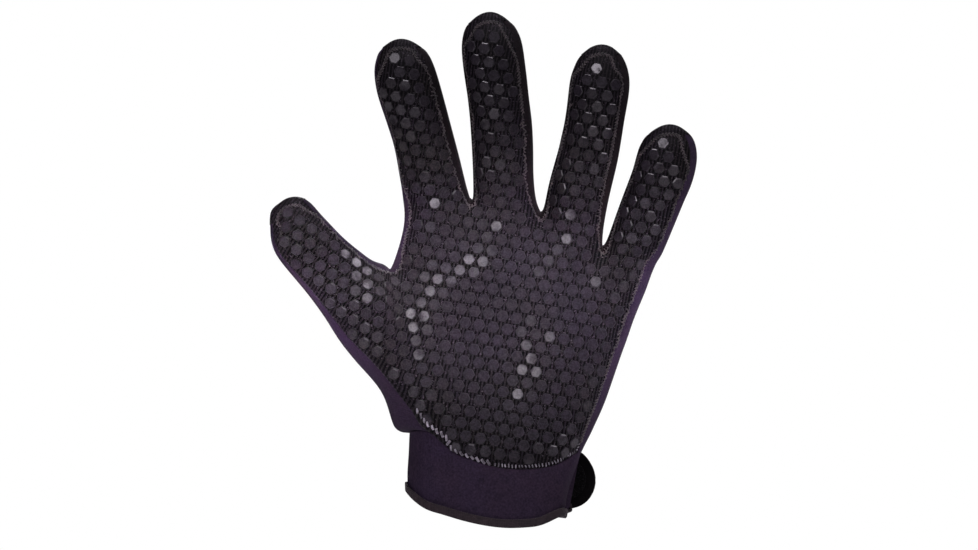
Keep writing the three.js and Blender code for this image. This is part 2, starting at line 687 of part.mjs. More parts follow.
// The folded tape: a channel section carried along the cuff's lower edge.
function bindingPiece(surface, line) {
  const { standOff, tape, above, below, round } = BINDING;
  const outside = standOff + tape;
  const inside = -CUFF_WALL - standOff - tape;
  const channel = [
    [outside, above], [standOff, above], [standOff, -standOff], [inside + tape, -standOff],
    [inside + tape, above], [inside, above], [inside, round - below], [inside + round, -below],
    [outside - round, -below], [outside, round - below],
  ];
  const solid = new Triangles();
  const rings = line.map((corner, i) => {
    const point = surface.points[corner];
    const out = surface.normals[corner];
    const ahead = surface.points[line[Math.min(i + 1, line.length - 1)]];
    const behind = surface.points[line[Math.max(i - 1, 0)]];
    const rise = ahead.clone().sub(behind).cross(out).normalize();
    rise.multiplyScalar(Math.sign(rise.z));
    return channel.map(([off, up]) => solid.add(
      point.clone().addScaledVector(out, off).addScaledVector(rise, up)));
  });
  for (let i = 0; i + 1 < rings.length; i += 1) {
    channel.forEach((_, j) => {
      const next = (j + 1) % channel.length;
      solid.quad(rings[i][j], rings[i][next], rings[i + 1][next], rings[i + 1][j]);
    });
  }
  const outline = channel.map(([off, up]) => new THREE.Vector2(off, up));
  const cap = THREE.ShapeUtils.triangulateShape(outline, []);
  const last = rings[rings.length - 1];
  for (const [a, b, c] of cap) {
    solid.index.push(rings[0][c], rings[0][b], rings[0][a]);
    solid.index.push(last[a], last[b], last[c]);
  }
  return solid.geometry();
}

// Length over which the slope of the strap's bed is taken.
const SLOPE_STEP = 0.5;

// Depth of the strap's bed at a place along X: it follows the cuff's back and then runs on straight
// from where the strap leaves it.
function bedDepth(x) {
  const wrist = HAND_LEVELS[0];
  const follow = (at) => {
    const share = (at - wrist.leftX) / (wrist.rightX - wrist.leftX);
    return wrist.back * roundDepth(share, HAND_ROUNDNESS);
  };
  if (x <= STRAP.leaveX) {
    return follow(x);
  }
  const slope = (follow(STRAP.leaveX) - follow(STRAP.leaveX - SLOPE_STEP)) / SLOPE_STEP;
  return follow(STRAP.leaveX) + slope * (x - STRAP.leaveX);
}

// Stations of a tab with a half-round end: places along X, each with half the tab's width there.
function tabStations(startX, radius, bodySteps, endSteps) {
  const centreX = STRAP.tipX - STRAP.width / 2;
  const stations = [];
  for (let i = 0; i < bodySteps; i += 1) {
    stations.push({ x: lerp(startX, centreX, i / bodySteps), half: radius });
  }
  for (let i = 0; i <= endSteps; i += 1) {
    const angle = THREE.MathUtils.degToRad(STRAP.endTurn * (i / endSteps));
    stations.push({ x: centreX + radius * Math.sin(angle), half: radius * Math.cos(angle) });
  }
  return stations;
}

// A strip of cloth over the back of the wrist between two depths off the strap's inner face.
function tabPiece(stations, nearDepth, farDepth) {
  const solid = new Triangles();
  const steps = STRAP.acrossSteps;
  const rows = stations.map(({ x, half }) => {
    const slope = (STRAP.tipZ - STRAP.rootZ) / (STRAP.tipX - STRAP.rootX);
    const middleZ = STRAP.rootZ + slope * (x - STRAP.rootX);
    const rise = (bedDepth(x + SLOPE_STEP) - bedDepth(x - SLOPE_STEP)) / (2 * SLOPE_STEP);
    const out = new THREE.Vector3(-rise, 1, 0).normalize();
    const near = [];
    const far = [];
    for (let j = 0; j <= steps; j += 1) {
      const z = middleZ + half * (2 * (j / steps) - 1);
      const base = new THREE.Vector3(x, bedDepth(x), z).addScaledVector(out, STRAP.standOff);
      near.push(solid.add(base.clone().addScaledVector(out, nearDepth)));
      far.push(solid.add(base.clone().addScaledVector(out, farDepth)));
    }
    return { near, far };
  });
  for (let i = 0; i + 1 < rows.length; i += 1) {
    const here = rows[i];
    const there = rows[i + 1];
    for (let j = 0; j < steps; j += 1) {
      solid.quad(here.near[j], there.near[j], there.near[j + 1], here.near[j + 1]);
      solid.quad(here.far[j + 1], there.far[j + 1], there.far[j], here.far[j]);
    }
    solid.quad(here.far[0], there.far[0], there.near[0], here.near[0]);
    solid.quad(here.near[steps], there.near[steps], there.far[steps], here.far[steps]);
  }
  const first = rows[0];
  const last = rows[rows.length - 1];
  for (let j = 0; j < steps; j += 1) {
    solid.quad(first.near[j], first.near[j + 1], first.far[j + 1], first.far[j]);
    solid.quad(last.near[j + 1], last.near[j], last.far[j], last.far[j + 1]);
  }
  return solid.geometry();
}

// The glove with its materials.
const FINISHES = {
  grip: { color: 0x2b2730, roughness: 0.7, metalness: 0 },
  neoprene: { color: 0x241c2c, roughness: 0.85, metalness: 0 },
  stretch: { color: 0x0e0c10, roughness: 0.9, metalness: 0 },
  tape: { color: 0x2c2129, roughness: 0.8, metalness: 0 },
  hook: { color: 0x1a1518, roughness: 0.95, metalness: 0 },
};

const glove = new THREE.Group();
glove.name = 'neoprene_glove';

function addPiece(name, geometry, finish) {
  const mesh = new THREE.Mesh(geometry, new THREE.MeshStandardMaterial({ ...FINISHES[finish] }));
  mesh.name = name;
  glove.add(mesh);
}

const hand = smoothSurface(handCage());
addPiece(PALM, clothPiece(hand, PALM, PALM_WALL), 'grip');
addPiece(BACK, clothPiece(hand, BACK, BACK_WALL), 'neoprene');
GUSSETS.forEach((name) => addPiece(name, clothPiece(hand, name, GUSSET_WALL), 'stretch'));

const band = cuffCage();
const cuffSurface = smoothSurface(band.cage);
addPiece(CUFF, clothPiece(cuffSurface, CUFF, CUFF_WALL), 'neoprene');
addPiece('cuff_binding', bindingPiece(cuffSurface, hemLine(cuffSurface, band.hem)), 'tape');

const strapStations = tabStations(STRAP.rootX, STRAP.width / 2, STRAP.bodySteps, STRAP.endSteps);
addPiece('wrist_strap', tabPiece(strapStations, 0, STRAP.thickness), 'stretch');
const hookStations = tabStations(HOOK.startX, HOOK.radius, HOOK.bodySteps, HOOK.endSteps);
addPiece('hook_patch', tabPiece(hookStations, -HOOK.standOff - HOOK.thickness, -HOOK.standOff), 'hook');

export default glove;
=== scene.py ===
"""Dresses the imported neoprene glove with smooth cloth, grip pads, seams and trim, and lights it."""

import logging
import math
import random
from collections.abc import Iterable
from dataclasses import dataclass, field
from enum import Enum, IntEnum
from typing import Any

import bmesh
import bpy
import numpy as np
from mathutils import Matrix, Vector, noise
from mathutils.bvhtree import BVHTree
from mathutils.kdtree import KDTree


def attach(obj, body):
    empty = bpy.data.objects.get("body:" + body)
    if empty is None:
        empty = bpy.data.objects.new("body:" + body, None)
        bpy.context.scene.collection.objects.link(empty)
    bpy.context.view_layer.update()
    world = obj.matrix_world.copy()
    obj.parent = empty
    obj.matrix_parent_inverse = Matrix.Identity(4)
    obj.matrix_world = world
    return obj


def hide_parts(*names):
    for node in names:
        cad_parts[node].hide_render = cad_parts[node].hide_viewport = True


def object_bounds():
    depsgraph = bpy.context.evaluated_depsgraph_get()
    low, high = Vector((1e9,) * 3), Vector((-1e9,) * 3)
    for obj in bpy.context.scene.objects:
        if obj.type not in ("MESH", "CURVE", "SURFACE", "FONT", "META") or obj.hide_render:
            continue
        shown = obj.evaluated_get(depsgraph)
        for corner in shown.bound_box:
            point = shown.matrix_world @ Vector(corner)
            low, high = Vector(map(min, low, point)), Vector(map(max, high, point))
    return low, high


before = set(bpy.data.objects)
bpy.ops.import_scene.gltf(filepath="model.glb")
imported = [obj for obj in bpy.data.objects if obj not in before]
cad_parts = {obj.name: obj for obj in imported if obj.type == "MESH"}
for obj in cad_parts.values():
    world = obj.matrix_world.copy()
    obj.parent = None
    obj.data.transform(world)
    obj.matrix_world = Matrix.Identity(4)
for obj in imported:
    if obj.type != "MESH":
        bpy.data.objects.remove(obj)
CAD_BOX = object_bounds()

log = logging.getLogger("glove")

# Sizes in the classes below are millimetres where nothing else is said, and every mesh is in metres.
MM = 0.001
BODY = "root"

PALM = "palm_panel"
BACK = "back_panel"
GUSSETS = ("gusset_index_middle", "gusset_middle_ring", "gusset_ring_little")
CUFF = "cuff"
BINDING = "cuff_binding"
STRAP = "wrist_strap"
HOOK = "hook_patch"

# Attributes of a mesh: a vertex's place on the flat cloth, and whether it lies in the painted shadow round
# the foot of a pad.
CLOTH_ATTRIBUTE = "cloth_place"
PAD_SHADOW_ATTRIBUTE = "pad_foot_shadow"

# A Spot is x, z as seen from the palm, and a Ring holds places in order, each with its surface's normal.
Colour = tuple[float, float, float]
Spot = tuple[float, float]
Ring = list[tuple[Vector, Vector]]
Key = tuple[int, int]
Socket = bpy.types.NodeSocket
Material = bpy.types.Material
Mesh = bpy.types.Mesh
Piece = bpy.types.Object
Solid = bmesh.types.BMesh
Vert = bmesh.types.BMVert
Edge = bmesh.types.BMEdge
Face = bmesh.types.BMFace


def smoothstep(share: float) -> float:
    """A smooth rise from 0 to 1 while share runs from 0 to 1."""
    held = min(1.0, max(0.0, share))
    return held * held * (3.0 - 2.0 * held)


def square_to(normal: Vector, way: Vector) -> Vector:
    """The direction nearest to a way that is square to a normal."""
    return (way - normal * way.dot(normal)).normalized()


# Shader maths


@dataclass(frozen=True)
class Value:
    """A number that varies over a surface: a material's node socket that Python expressions can use."""

    paint: "Paint"
    socket: Socket

    def __add__(self, other: Any) -> "Value":
        """Adds a number or another value."""
        return self.paint.maths("ADD", self, other)

    __radd__ = __add__

    def __sub__(self, other: Any) -> "Value":
        """Takes a number or another value away."""
        return self.paint.maths("SUBTRACT", self, other)

    def __rsub__(self, other: Any) -> "Value":
        """Takes this value away from a number."""
        return self.paint.maths("SUBTRACT", other, self)

    def __mul__(self, other: Any) -> "Value":
        """Multiplies with a number or another value."""
        return self.paint.maths("MULTIPLY", self, other)

    __rmul__ = __mul__

    def __pow__(self, other: Any) -> "Value":
        """Raises to a power."""
        return self.paint.maths("POWER", self, other)

    def held(self) -> "Value":
        """The value kept between 0 and 1."""
        return self.paint.maths("MAXIMUM", self.paint.maths("MINIMUM", self, 1.0), 0.0)

    def contrast(self, gain: float, level: float = 0.5) -> "Value":
        """Noise round 0.5 made stronger by a gain, moved to a level, and kept between 0 and 1."""
        return ((self - 0.5) * gain + level).held()


class Paint:
    """A material under construction, with one method for each kind of node it needs."""

    def __init__(self, name: str) -> None:
        """Starts a material with an output and a Principled shader.

        Args:
            name: the material's name.
        """
        self.material = bpy.data.materials.new(name)
        self.material.use_nodes = True
        self.tree = self.material.node_tree
        self.tree.nodes.clear()
        output = self.tree.nodes.new("ShaderNodeOutputMaterial")
        self.shader = self.tree.nodes.new("ShaderNodeBsdfPrincipled")
        self.tree.links.new(self.shader.outputs["BSDF"], output.inputs["Surface"])

    def feed(self, socket: Socket, value: Any) -> None:
        """Links a value to an input socket, or sets it there.

        Args:
            socket: the input socket.
            value: a Value, a socket, or a plain number, colour or vector.
        """
        source = value.socket if isinstance(value, Value) else value
        if isinstance(source, Socket):
            self.tree.links.new(source, socket)
        else:
            socket.default_value = source

    def node(self, kind: str, settings: dict[str, Any], sockets: dict[Any, Any]) -> bpy.types.Node:
        """Adds a node.

        Args:
            kind: the node's type.
            settings: properties that are set before the sockets.
            sockets: values or links by the input's name or number.

        Returns:
            The new node.
        """
        made = self.tree.nodes.new(kind)
        for name, value in settings.items():
            setattr(made, name, value)
        for key, value in sockets.items():
            self.feed(made.inputs[key], value)
        return made

    def maths(self, operation: str, *values: Any) -> Value:
        """The result of a Math node on values or numbers."""
        made = self.node("ShaderNodeMath", {"operation": operation}, dict(enumerate(values)))
        return Value(self, made.outputs[0])

    def place(self) -> Socket:
        """The place on the object, in metres."""
        return self.node("ShaderNodeTexCoord", {}, {}).outputs["Object"]

    def attribute(self, name: str, output: str) -> Socket:
        """One output of the node that reads an attribute of the piece's mesh."""
        settings = {"attribute_type": "GEOMETRY", "attribute_name": name}
        return self.node("ShaderNodeAttribute", settings, {}).outputs[output]

    def parts(self, vector: Socket) -> list[Value]:
        """The three numbers of a vector."""
        made = self.node("ShaderNodeSeparateXYZ", {}, {0: vector})
        return [Value(self, made.outputs[i]) for i in range(3)]

    def noise(self, vector: Socket, size: float, detail: float = 2.0) -> Value:
        """Soft noise round 0.5, with spots of a size in millimetres and finer layers up to detail."""
        sockets = {"Vector": vector, "Scale": 1.0 / (size * MM), "Detail": detail}
        return Value(self, self.node("ShaderNodeTexNoise", {}, sockets).outputs[0])

    def cells(self, vector: Socket, size: float) -> Value:
        """Distance to the middle of the nearest of many small cells of a size in millimetres."""
        sockets = {"Vector": vector, "Scale": 1.0 / (size * MM)}
        return Value(self, self.node("ShaderNodeTexVoronoi", {}, sockets).outputs["Distance"])

    def wave(self, along: Value, pitch: float) -> Value:
        """A wave between 0 and 1 that repeats at a pitch in millimetres, with a crest at 0."""
        turns = along * (2.0 * math.pi / (pitch * MM))
        return self.maths("COSINE", turns) * 0.5 + 0.5

    def colour(self, share: Any, low: Any, high: Any) -> Socket:
        """Two colours, each a tuple or a socket, mixed by the share of the second."""
        first, second = [(*end, 1.0) if isinstance(end, tuple) else end for end in (low, high)]
        return self.node("ShaderNodeMix", {"data_type": "RGBA"}, {0: share, 6: first, 7: second}).outputs[2]

    def bump(self, height: Value, depth: float, before: Socket | None = None) -> Socket:
        """The normal of a relief.

        Args:
            height: a number round 0 to 1.
            depth: how high 1 stands, in millimetres.
            before: the normal of an earlier bump.

        Returns:
            The socket with the new normal.
        """
        made = self.node("ShaderNodeBump", {}, {"Strength": 1.0, "Distance": depth * MM, "Height": height})
        if before is not None:
            self.feed(made.inputs["Normal"], before)
        return made.outputs[0]

    def finish(self, base: Any, roughness: Any, normal: Socket, specular: float,
               others: dict[str, Any] | None = None) -> Material:
        """Joins the results to the shader.

        Args:
            base: the base colour.
            roughness: a number or value.
            normal: the socket with the normal.
            specular: how strongly the plain surface shines.
            others: numbers or values for more of the shader's sockets.

        Returns:
            The finished material.
        """
        sockets = {"Base Color": base, "Roughness": roughness, "Normal": normal}
        for name, value in (sockets | {"Specular IOR Level": specular} | (others or {})).items():
            self.feed(self.shader.inputs[name], value)
        return self.material


# Finishes


@dataclass(frozen=True)
class RibKnit:
    """The palm's rib knit: fine wales, with painted shade that makes the grooves between them near black."""

    # valley is painted shade: the near black colour of the grooves between the wales, where shade falls.
    valley: Colour = (0.0010, 0.0006, 0.0016)
    ridge: Colour = (0.0195, 0.0150, 0.0225)
    warm: Colour = (0.0200, 0.0170, 0.0175)
    lint: Colour = (0.085, 0.068, 0.086)
    rib_pitch: float = 1.5625
    loop_pitch: float = 1.05
    sway: float = 0.35
    sway_size: float = 5.0
    fuzz_size: float = 0.55
    worn_size: float = 16.0
    lint_size: float = 0.8
    relief: float = 0.34

    def make(self) -> Material:
        """Lays the knit along the cloth's own coordinates.

        Returns:
            The material.
        """
        paint = Paint("rib_knit")
        across, along, _ = paint.parts(paint.attribute(CLOTH_ATTRIBUTE, "Vector"))
        place = paint.place()
        sway = (paint.noise(place, self.sway_size) - 0.5) * (self.sway * MM)
        rib = paint.wave(across + sway, self.rib_pitch)
        loops = paint.wave(along + rib * (self.sway * MM), self.loop_pitch)
        fuzz = paint.noise(place, self.fuzz_size, 3.0)
        ridge = ((rib - 0.46) * 3.2 + (loops - 0.5) * 0.9 + (fuzz - 0.5) * 2.4).held()
        tone = paint.colour(paint.noise(place, self.worn_size, 3.0).contrast(3.0), self.ridge, self.warm)
        # The ridge share mixes the painted shade of the grooves with the colour of the wales.
        knit = paint.colour(ridge * (0.8 + 0.4 * (fuzz - 0.2)), self.valley, tone)
        lint = ((paint.noise(place, self.lint_size, 1.0) - 0.62) * 9.0).held()
        base = paint.colour(lint * 0.8, knit, self.lint)
        normal = paint.bump(ridge + 0.2 * fuzz, self.relief)
        return paint.finish(base, 0.62 - 0.1 * ridge, normal, 0.12)


@dataclass(frozen=True)
class GripRubber:
    """The satin rubber of the raised grip pads, with a fine pebbled skin and a patchy gloss."""

    # The first colour is a painted shadow: near black on the thin ring round each pad's foot, where shade
    # falls on the cloth.
    painted_foot_shadow: Colour = (0.0008, 0.0006, 0.0010)
    dark: Colour = (0.0115, 0.0090, 0.0130)
    light: Colour = (0.0290, 0.0235, 0.0325)
    warm: Colour = (0.0300, 0.0262, 0.0255)
    pebble_size: float = 1.6
    grain_size: float = 0.6
    patch_size: float = 26.0
    gloss_size: float = 7.0
    pebble_relief: float = 0.19
    grain_relief: float = 0.08

    def make(self) -> Material:
        """Colours the pads on Object coordinates, with a painted shadow near black round each pad's foot.

        Returns:
            The material.
        """
        paint = Paint("grip_rubber")
        place = paint.place()
        # The mask of the painted shadow round each pad's foot, read from the mesh; the coat is left off
        # there.
        painted_foot_shadow = Value(paint, paint.attribute(PAD_SHADOW_ATTRIBUTE, "Fac"))
        pebble = paint.noise(place, self.pebble_size)
        grain = paint.noise(place, self.grain_size, 3.0)
        patch = paint.noise(place, self.patch_size, 1.0)
        tone = paint.colour(patch.contrast(3.0, 0.25), self.light, self.warm)
        face = paint.colour((pebble * 1.7 + grain * 2.8 - 1.75).held(), self.dark, tone)
        base = paint.colour(painted_foot_shadow, face, self.painted_foot_shadow)
        normal = paint.bump(grain, self.grain_relief, paint.bump(pebble, self.pebble_relief))
        gloss = (paint.noise(place, self.gloss_size, 1.0) - 0.5) * 3.2 + (pebble - 0.5) * 2.6 + 0.72
        coat = {"Coat Weight": (1.0 - painted_foot_shadow) * gloss.held(), "Coat Roughness": 0.17}
        return paint.finish(base, 0.45 + 0.1 * grain, normal, 0.15, coat)


@dataclass(frozen=True)
class Jersey:
    """The fine knit face of neoprene and of stretch cloth, with faint mottling."""

    name: str
    dark: Colour
    light: Colour
    warm: Colour
    stitch: float = 0.55
    mottling: float = 5.0
    sheen: float = 0.0
    speck_size: float = 0.85
    patch_size: float = 21.0
    fibre_size: float = 0.4
    mottle_relief: float = 0.12
    knit_relief: float = 0.07

    def make(self) -> Material:
        """Colours the cloth on Object coordinates.

        Returns:
            The material.
        """
        paint = Paint(self.name)
        place = paint.place()
        across, depth, up = paint.parts(place)
        column = paint.wave(across + depth * 0.7, self.stitch)
        row = paint.wave(up - depth * 0.4, self.stitch * 0.8)
        knit = column * row
        mottle = paint.noise(place, self.mottling, 4.0)
        speck = paint.noise(place, self.speck_size)
        patch = paint.noise(place, self.patch_size)
        tone = paint.colour(patch.contrast(2.4), self.light, self.warm)
        shade = (mottle * 0.5 + knit * 0.25 + (speck - 0.5) * 1.1 + 0.18).held()
        base = paint.colour(shade, self.dark, tone)
        fibres = knit + 0.6 * paint.noise(place, self.fibre_size)
        normal = paint.bump(fibres, self.knit_relief, paint.bump(mottle, self.mottle_relief))
        sheen = {"Sheen Weight": self.sheen, "Sheen Roughness": 0.35}
        return paint.finish(base, 0.8 + 0.1 * mottle, normal, 0.12, sheen)


@dataclass(frozen=True)
class WovenTape:
    """Tape with fine cords across it, for the hem binding."""

    dark: Colour = (0.009, 0.005, 0.009)
    light: Colour = (0.048, 0.031, 0.036)
    cord_pitch: float = 0.8
    weft_pitch: float = 0.7
    mottling: float = 3.0
    relief: float = 0.12

    def make(self) -> Material:
        """Colours the tape on Object coordinates.

        Returns:
            The material.
        """
        paint = Paint("woven_tape")
        place = paint.place()
        across, depth, up = paint.parts(place)
        cord = paint.wave(across + depth, self.cord_pitch)
        mottle = paint.noise(place, self.mottling, 4.0)
        base = paint.colour((mottle * 1.2 - 0.2 + cord * 0.2).held(), self.dark, self.light)
        normal = paint.bump(cord * paint.wave(up, self.weft_pitch) + 0.8 * mottle, self.relief)
        return paint.finish(base, 0.8, normal, 0.3, {"Sheen Weight": 0.15, "Sheen Roughness": 0.4})


@dataclass(frozen=True)
class HookPile:
    """The stiff hooks of the closing tape."""

    dark: Colour = (0.002, 0.002, 0.002)
    light: Colour = (0.03, 0.027, 0.032)
    tuft_size: float = 0.9
    fibre_size: float = 0.4
    relief: float = 0.4

    def make(self) -> Material:
        """Colours the hooks on Object coordinates.

        Returns:
            The material.
        """
        paint = Paint("hook_pile")
        place = paint.place()
        tufts = (1.0 - paint.cells(place, self.tuft_size) * 1.6).held()
        fibre = paint.noise(place, self.fibre_size, 3.0)
        base = paint.colour((tufts ** 2.0 * fibre * 1.6).held(), self.dark, self.light)
        return paint.finish(base, 0.75, paint.bump(tufts + fibre, self.relief), 0.12)


@dataclass(frozen=True)
class Thread:
    """Twisted sewing thread."""

    name: str
    dark: Colour
    light: Colour
    twist_pitch: float = 0.34
    fleck_size: float = 2.2
    relief: float = 0.06

    def make(self) -> Material:
        """Colours the thread on Object coordinates.

        Returns:
            The material.
        """
        paint = Paint(self.name)
        place = paint.place()
        across, depth, up = paint.parts(place)
        twist = paint.wave(across + depth * 0.6 + up * 0.8, self.twist_pitch)
        fleck = paint.noise(place, self.fleck_size, 3.0)
        base = paint.colour(((fleck - 0.4) * 2.2 + twist * 0.25).held(), self.dark, self.light)
        return paint.finish(base, 0.5, paint.bump(twist, self.relief), 0.5, {"Sheen Weight": 0.2})


# How the cloth lies


@dataclass(frozen=True)
class ClothLay:
    """How the palm's cloth lies: straight up the fingers, and turned on to the thumb."""

    pivot: Spot = (-38.0, 78.0)
    turn: float = math.radians(25.0)
    turn_starts: float = -12.0
    turn_length: float = 44.0
    thumb_top: Spot = (-44.0, 106.0)
    thumb_slope: float = 0.75
    fade: float = 2.0
    search_rounds: int = 60

    def turned(self, x: float, z: float) -> tuple[float, float]:
        """Finds how far the cloth is turned clockwise, as seen from the palm.

        Args:
            x: place across the glove.
            z: place up the glove.

        Returns:
            The turn's cosine and sine.
        """
        top = self.thumb_top[1] + (self.thumb_top[0] - x) * self.thumb_slope
        shifted = x + self.fade * max(0.0, z - top)
        angle = self.turn * smoothstep((self.turn_starts - shifted) / self.turn_length)
        return math.cos(angle), math.sin(angle)

    def flat(self, x: float, z: float) -> Spot:
        """Finds the place on the flat cloth that lies at a place of the glove.

        Args:
            x: place across the glove.
            z: place up the glove.

        Returns:
            The place across and along the flat cloth.
        """
        cosine, sine = self.turned(x, z)
        right, up = x - self.pivot[0], z - self.pivot[1]
        return right * cosine - up * sine, right * sine + up * cosine

    def seen(self, u: float, v: float) -> Spot:
        """Finds where a place of the flat cloth lies on the glove.

        Args:
            u: place across the cloth.
            v: place along the cloth.

        Returns:
            The place across and up the glove.
        """
        x, z = self.pivot[0] + u, self.pivot[1] + v
        for _ in range(self.search_rounds):
            cosine, sine = self.turned(x, z)
            x = (x + self.pivot[0] + u * cosine + v * sine) / 2.0
            z = (z + self.pivot[1] - u * sine + v * cosine) / 2.0
        return x, z


@dataclass(frozen=True)
class Crease:
    """A soft valley with low banks along a line of places seen from the palm."""

    line: tuple[Spot, ...]
    depth: float
    width: float
    bank_height: float = 0.45
    bank_place: float = 2.1
    reach: float = 5.0
    end_fade: float = 0.2

    def rise(self, x: float, z: float) -> float:
        """Works out the height of the fold at a place, below zero in the valley.

        Args:
            x: place across the glove.
            z: place up the glove.

        Returns:
            Millimetres.
        """
        nearest, share = math.inf, 0.0
        count = len(self.line) - 1
        for i, ((ax, az), (bx, bz)) in enumerate(zip(self.line, self.line[1:])):
            dx, dz = bx - ax, bz - az
            t = min(1.0, max(0.0, ((x - ax) * dx + (z - az) * dz) / (dx * dx + dz * dz)))
            gap = math.hypot(x - ax - t * dx, z - az - t * dz)
            if gap < nearest:
                nearest, share = gap, (i + t) / count
        if nearest > self.reach * self.width:
            return 0.0
        fade = smoothstep(share / self.end_fade) * smoothstep((1.0 - share) / self.end_fade)
        valley = math.exp(-(nearest / self.width) ** 2)
        bank = math.exp(-((nearest - self.bank_place * self.width) / self.width) ** 2)
        return self.depth * fade * (self.bank_height * bank - valley)


# The size of a pixel in the 978 pixel wide view of the palm, and the pixel that the origin is seen at.
PIXEL = 0.44
ORIGIN_RIGHT = 487.0
ORIGIN_DOWN = 508.0


def photo_line(*pixels: Spot) -> tuple[Spot, ...]:
    """Places on the glove from pixels right, down in the view of the palm."""
    return tuple(((right - ORIGIN_RIGHT) * PIXEL, (ORIGIN_DOWN - down) * PIXEL) for right, down in pixels)


@dataclass(frozen=True)
class Finger:
    """A finger seen from the palm, with a share along its axis and a depth for each fold across it."""

    base: Spot
    tip: Spot
    half: float
    folds: tuple[tuple[float, float], ...]
    fold_width: float = 1.5
    fold_reach: float = 0.9
    bends: tuple[float, float] = (-1.2, 1.6)
    tip_round: float = 10.0
    seam_inset: float = 3.2
    inset_starts: float = -3.0
    inset_grows: float = 8.0

    def axis(self) -> Vector:
        """The way from the base to the tip."""
        return Vector(self.tip) - Vector(self.base)

    def drawn_in(self, x: float, z: float) -> Spot:
        """Finds where the seam runs that a panel's edge would hide behind the rounded fingertip.

        Args:
            x: the edge's place across the glove.
            z: its place up the glove.

        Returns:
            The place of the seam, drawn in towards the middle of the tip's round.
        """
        heading = self.axis().normalized()
        away = Vector((x, z)) - (Vector(self.tip) - heading * self.tip_round)
        if away.length > 2.0 * self.tip_round or away.length < 1.0:
            return x, z
        share = smoothstep((away.dot(heading) - self.inset_starts) / self.inset_grows)
        moved = Vector((x, z)) - away.normalized() * (self.seam_inset * share)
        return moved.x, moved.y

    def creases(self) -> list[Crease]:
        """Bends each fold's line over the finger, in turn down and up.

        Returns:
            The creases.
        """
        along = self.axis()
        up = along.normalized()
        across = Vector((along.y, -along.x)).normalized() * self.half
        made = []
        for index, (share, depth) in enumerate(self.folds):
            middle = Vector(self.base) + along * share
            bend = up * self.bends[index % 2]
            sides = [step / 3.0 for step in range(-3, 4)]
            line = [middle + across * side * self.fold_reach + bend * (1.0 - side * side) for side in sides]
            made.append(Crease(tuple((spot.x, spot.y) for spot in line), depth, self.fold_width))
        return made


PALM_CREASES = (
    Crease(photo_line((520, 255), (533, 280), (542, 307), (547, 333), (556, 368), (555, 440)), 0.55, 1.9),
    Crease(photo_line((440, 268), (462, 262), (490, 262), (515, 268)), 0.45, 2.2),
    Crease(photo_line((398, 285), (405, 305), (425, 330), (440, 365)), 0.35, 2.4),
)
FINGERS = (
    Finger((-22.5, 133.0), (-37.0, 203.0), 12.5, ((0.06, 0.4), (0.26, 0.6), (0.4, 0.4), (0.7, 0.35))),
    Finger((8.0, 138.0), (1.0, 215.0), 12.5, ((0.05, 0.4), (0.36, 0.45), (0.41, 0.3), (0.68, 0.35))),
    Finger((37.0, 128.0), (50.0, 201.0), 12.5, ((0.05, 0.4), (0.38, 0.5), (0.43, 0.3), (0.66, 0.4))),
    Finger((62.5, 112.0), (80.0, 166.0), 12.0, ((0.06, 0.4), (0.42, 0.45), (0.7, 0.3))),
    Finger((-52.0, 82.0), (-90.0, 132.0), 13.0, ((0.1, 0.3), (0.5, 0.45), (0.58, 0.3))),
)


@dataclass(frozen=True)
class Drape:
    """All the soft relief of the cloth, with creases only where it faces the palm's side."""

    ripple: float = 0.22
    ripple_size: float = 11.0
    swell: float = 0.2
    swell_size: float = 34.0
    swell_shift: tuple[float, float, float] = (7.0, 3.0, 1.0)
    facing_starts: float = 0.1
    facing_grows: float = 0.5
    creases: tuple[Crease, ...] = (
        *PALM_CREASES, *(crease for finger in FINGERS for crease in finger.creases()))

    def rise(self, spot: Vector, normal: Vector) -> float:
        """Works out how far the cloth stands out at a spot.

        Args:
            spot: the place in metres.
            normal: the outward direction there.

        Returns:
            Metres.
        """
        x, z = spot.x / MM, spot.z / MM
        height = self.ripple * noise.noise(spot / (self.ripple_size * MM))
        height += self.swell * noise.noise(spot / (self.swell_size * MM) + Vector(self.swell_shift))
        facing = smoothstep((-normal.y - self.facing_starts) / self.facing_grows)
        if facing > 0.0:
            for crease in self.creases:
                height += crease.rise(x, z) * facing
        return height * MM


# Smooth pieces from the solids


class Side(IntEnum):
    """The side of a cloth solid that a face belongs to."""

    OUTER = 0
    INNER = 1
    RIM = 2


# Metres within which corners are one, the angle of a sharp edge, and the angle up to which triangles join.
MERGE = 0.00002
SHARP = math.radians(52.0)
JOIN = math.radians(75.0)

# Rounds of subdivision, and how often and how strongly the coarse mesh is moved to meet its old places.
SMOOTHING = 2
CAGE_ROUNDS = 4
CAGE_PULL = 0.9


def quad_copy(node: str) -> Solid:
    """Copies the solid of a CAD node as a closed mesh of mostly four-sided faces.

    Args:
        node: the node's name.

    Returns:
        A new bmesh.
    """
    solid = bmesh.new()
    solid.from_mesh(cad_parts[node].data)
    bmesh.ops.remove_doubles(solid, verts=solid.verts, dist=MERGE)
    bmesh.ops.join_triangles(
        solid, faces=solid.faces, cmp_seam=False, cmp_sharp=False, cmp_uvs=False, cmp_vcols=False,
        cmp_materials=False, angle_face_threshold=JOIN, angle_shape_threshold=math.pi)
    solid.normal_update()
    return solid


def regions(solid: Solid) -> list[list[Face]]:
    """Groups the faces that no sharp edge parts.

    Args:
        solid: the solid.

    Returns:
        The groups, the largest area first.
    """
    for face in solid.faces:
        face.tag = False
    found = []
    for seed in solid.faces:
        if seed.tag:
            continue
        seed.tag = True
        group, waiting = [seed], [seed]
        while waiting:
            for edge in waiting.pop().edges:
                if edge.calc_face_angle(math.pi) > SHARP:
                    continue
                for face in edge.link_faces:
                    if not face.tag:
                        face.tag = True
                        group.append(face)
                        waiting.append(face)
        found.append(group)
    return sorted(found, key=lambda group: -sum(face.calc_area() for face in group))


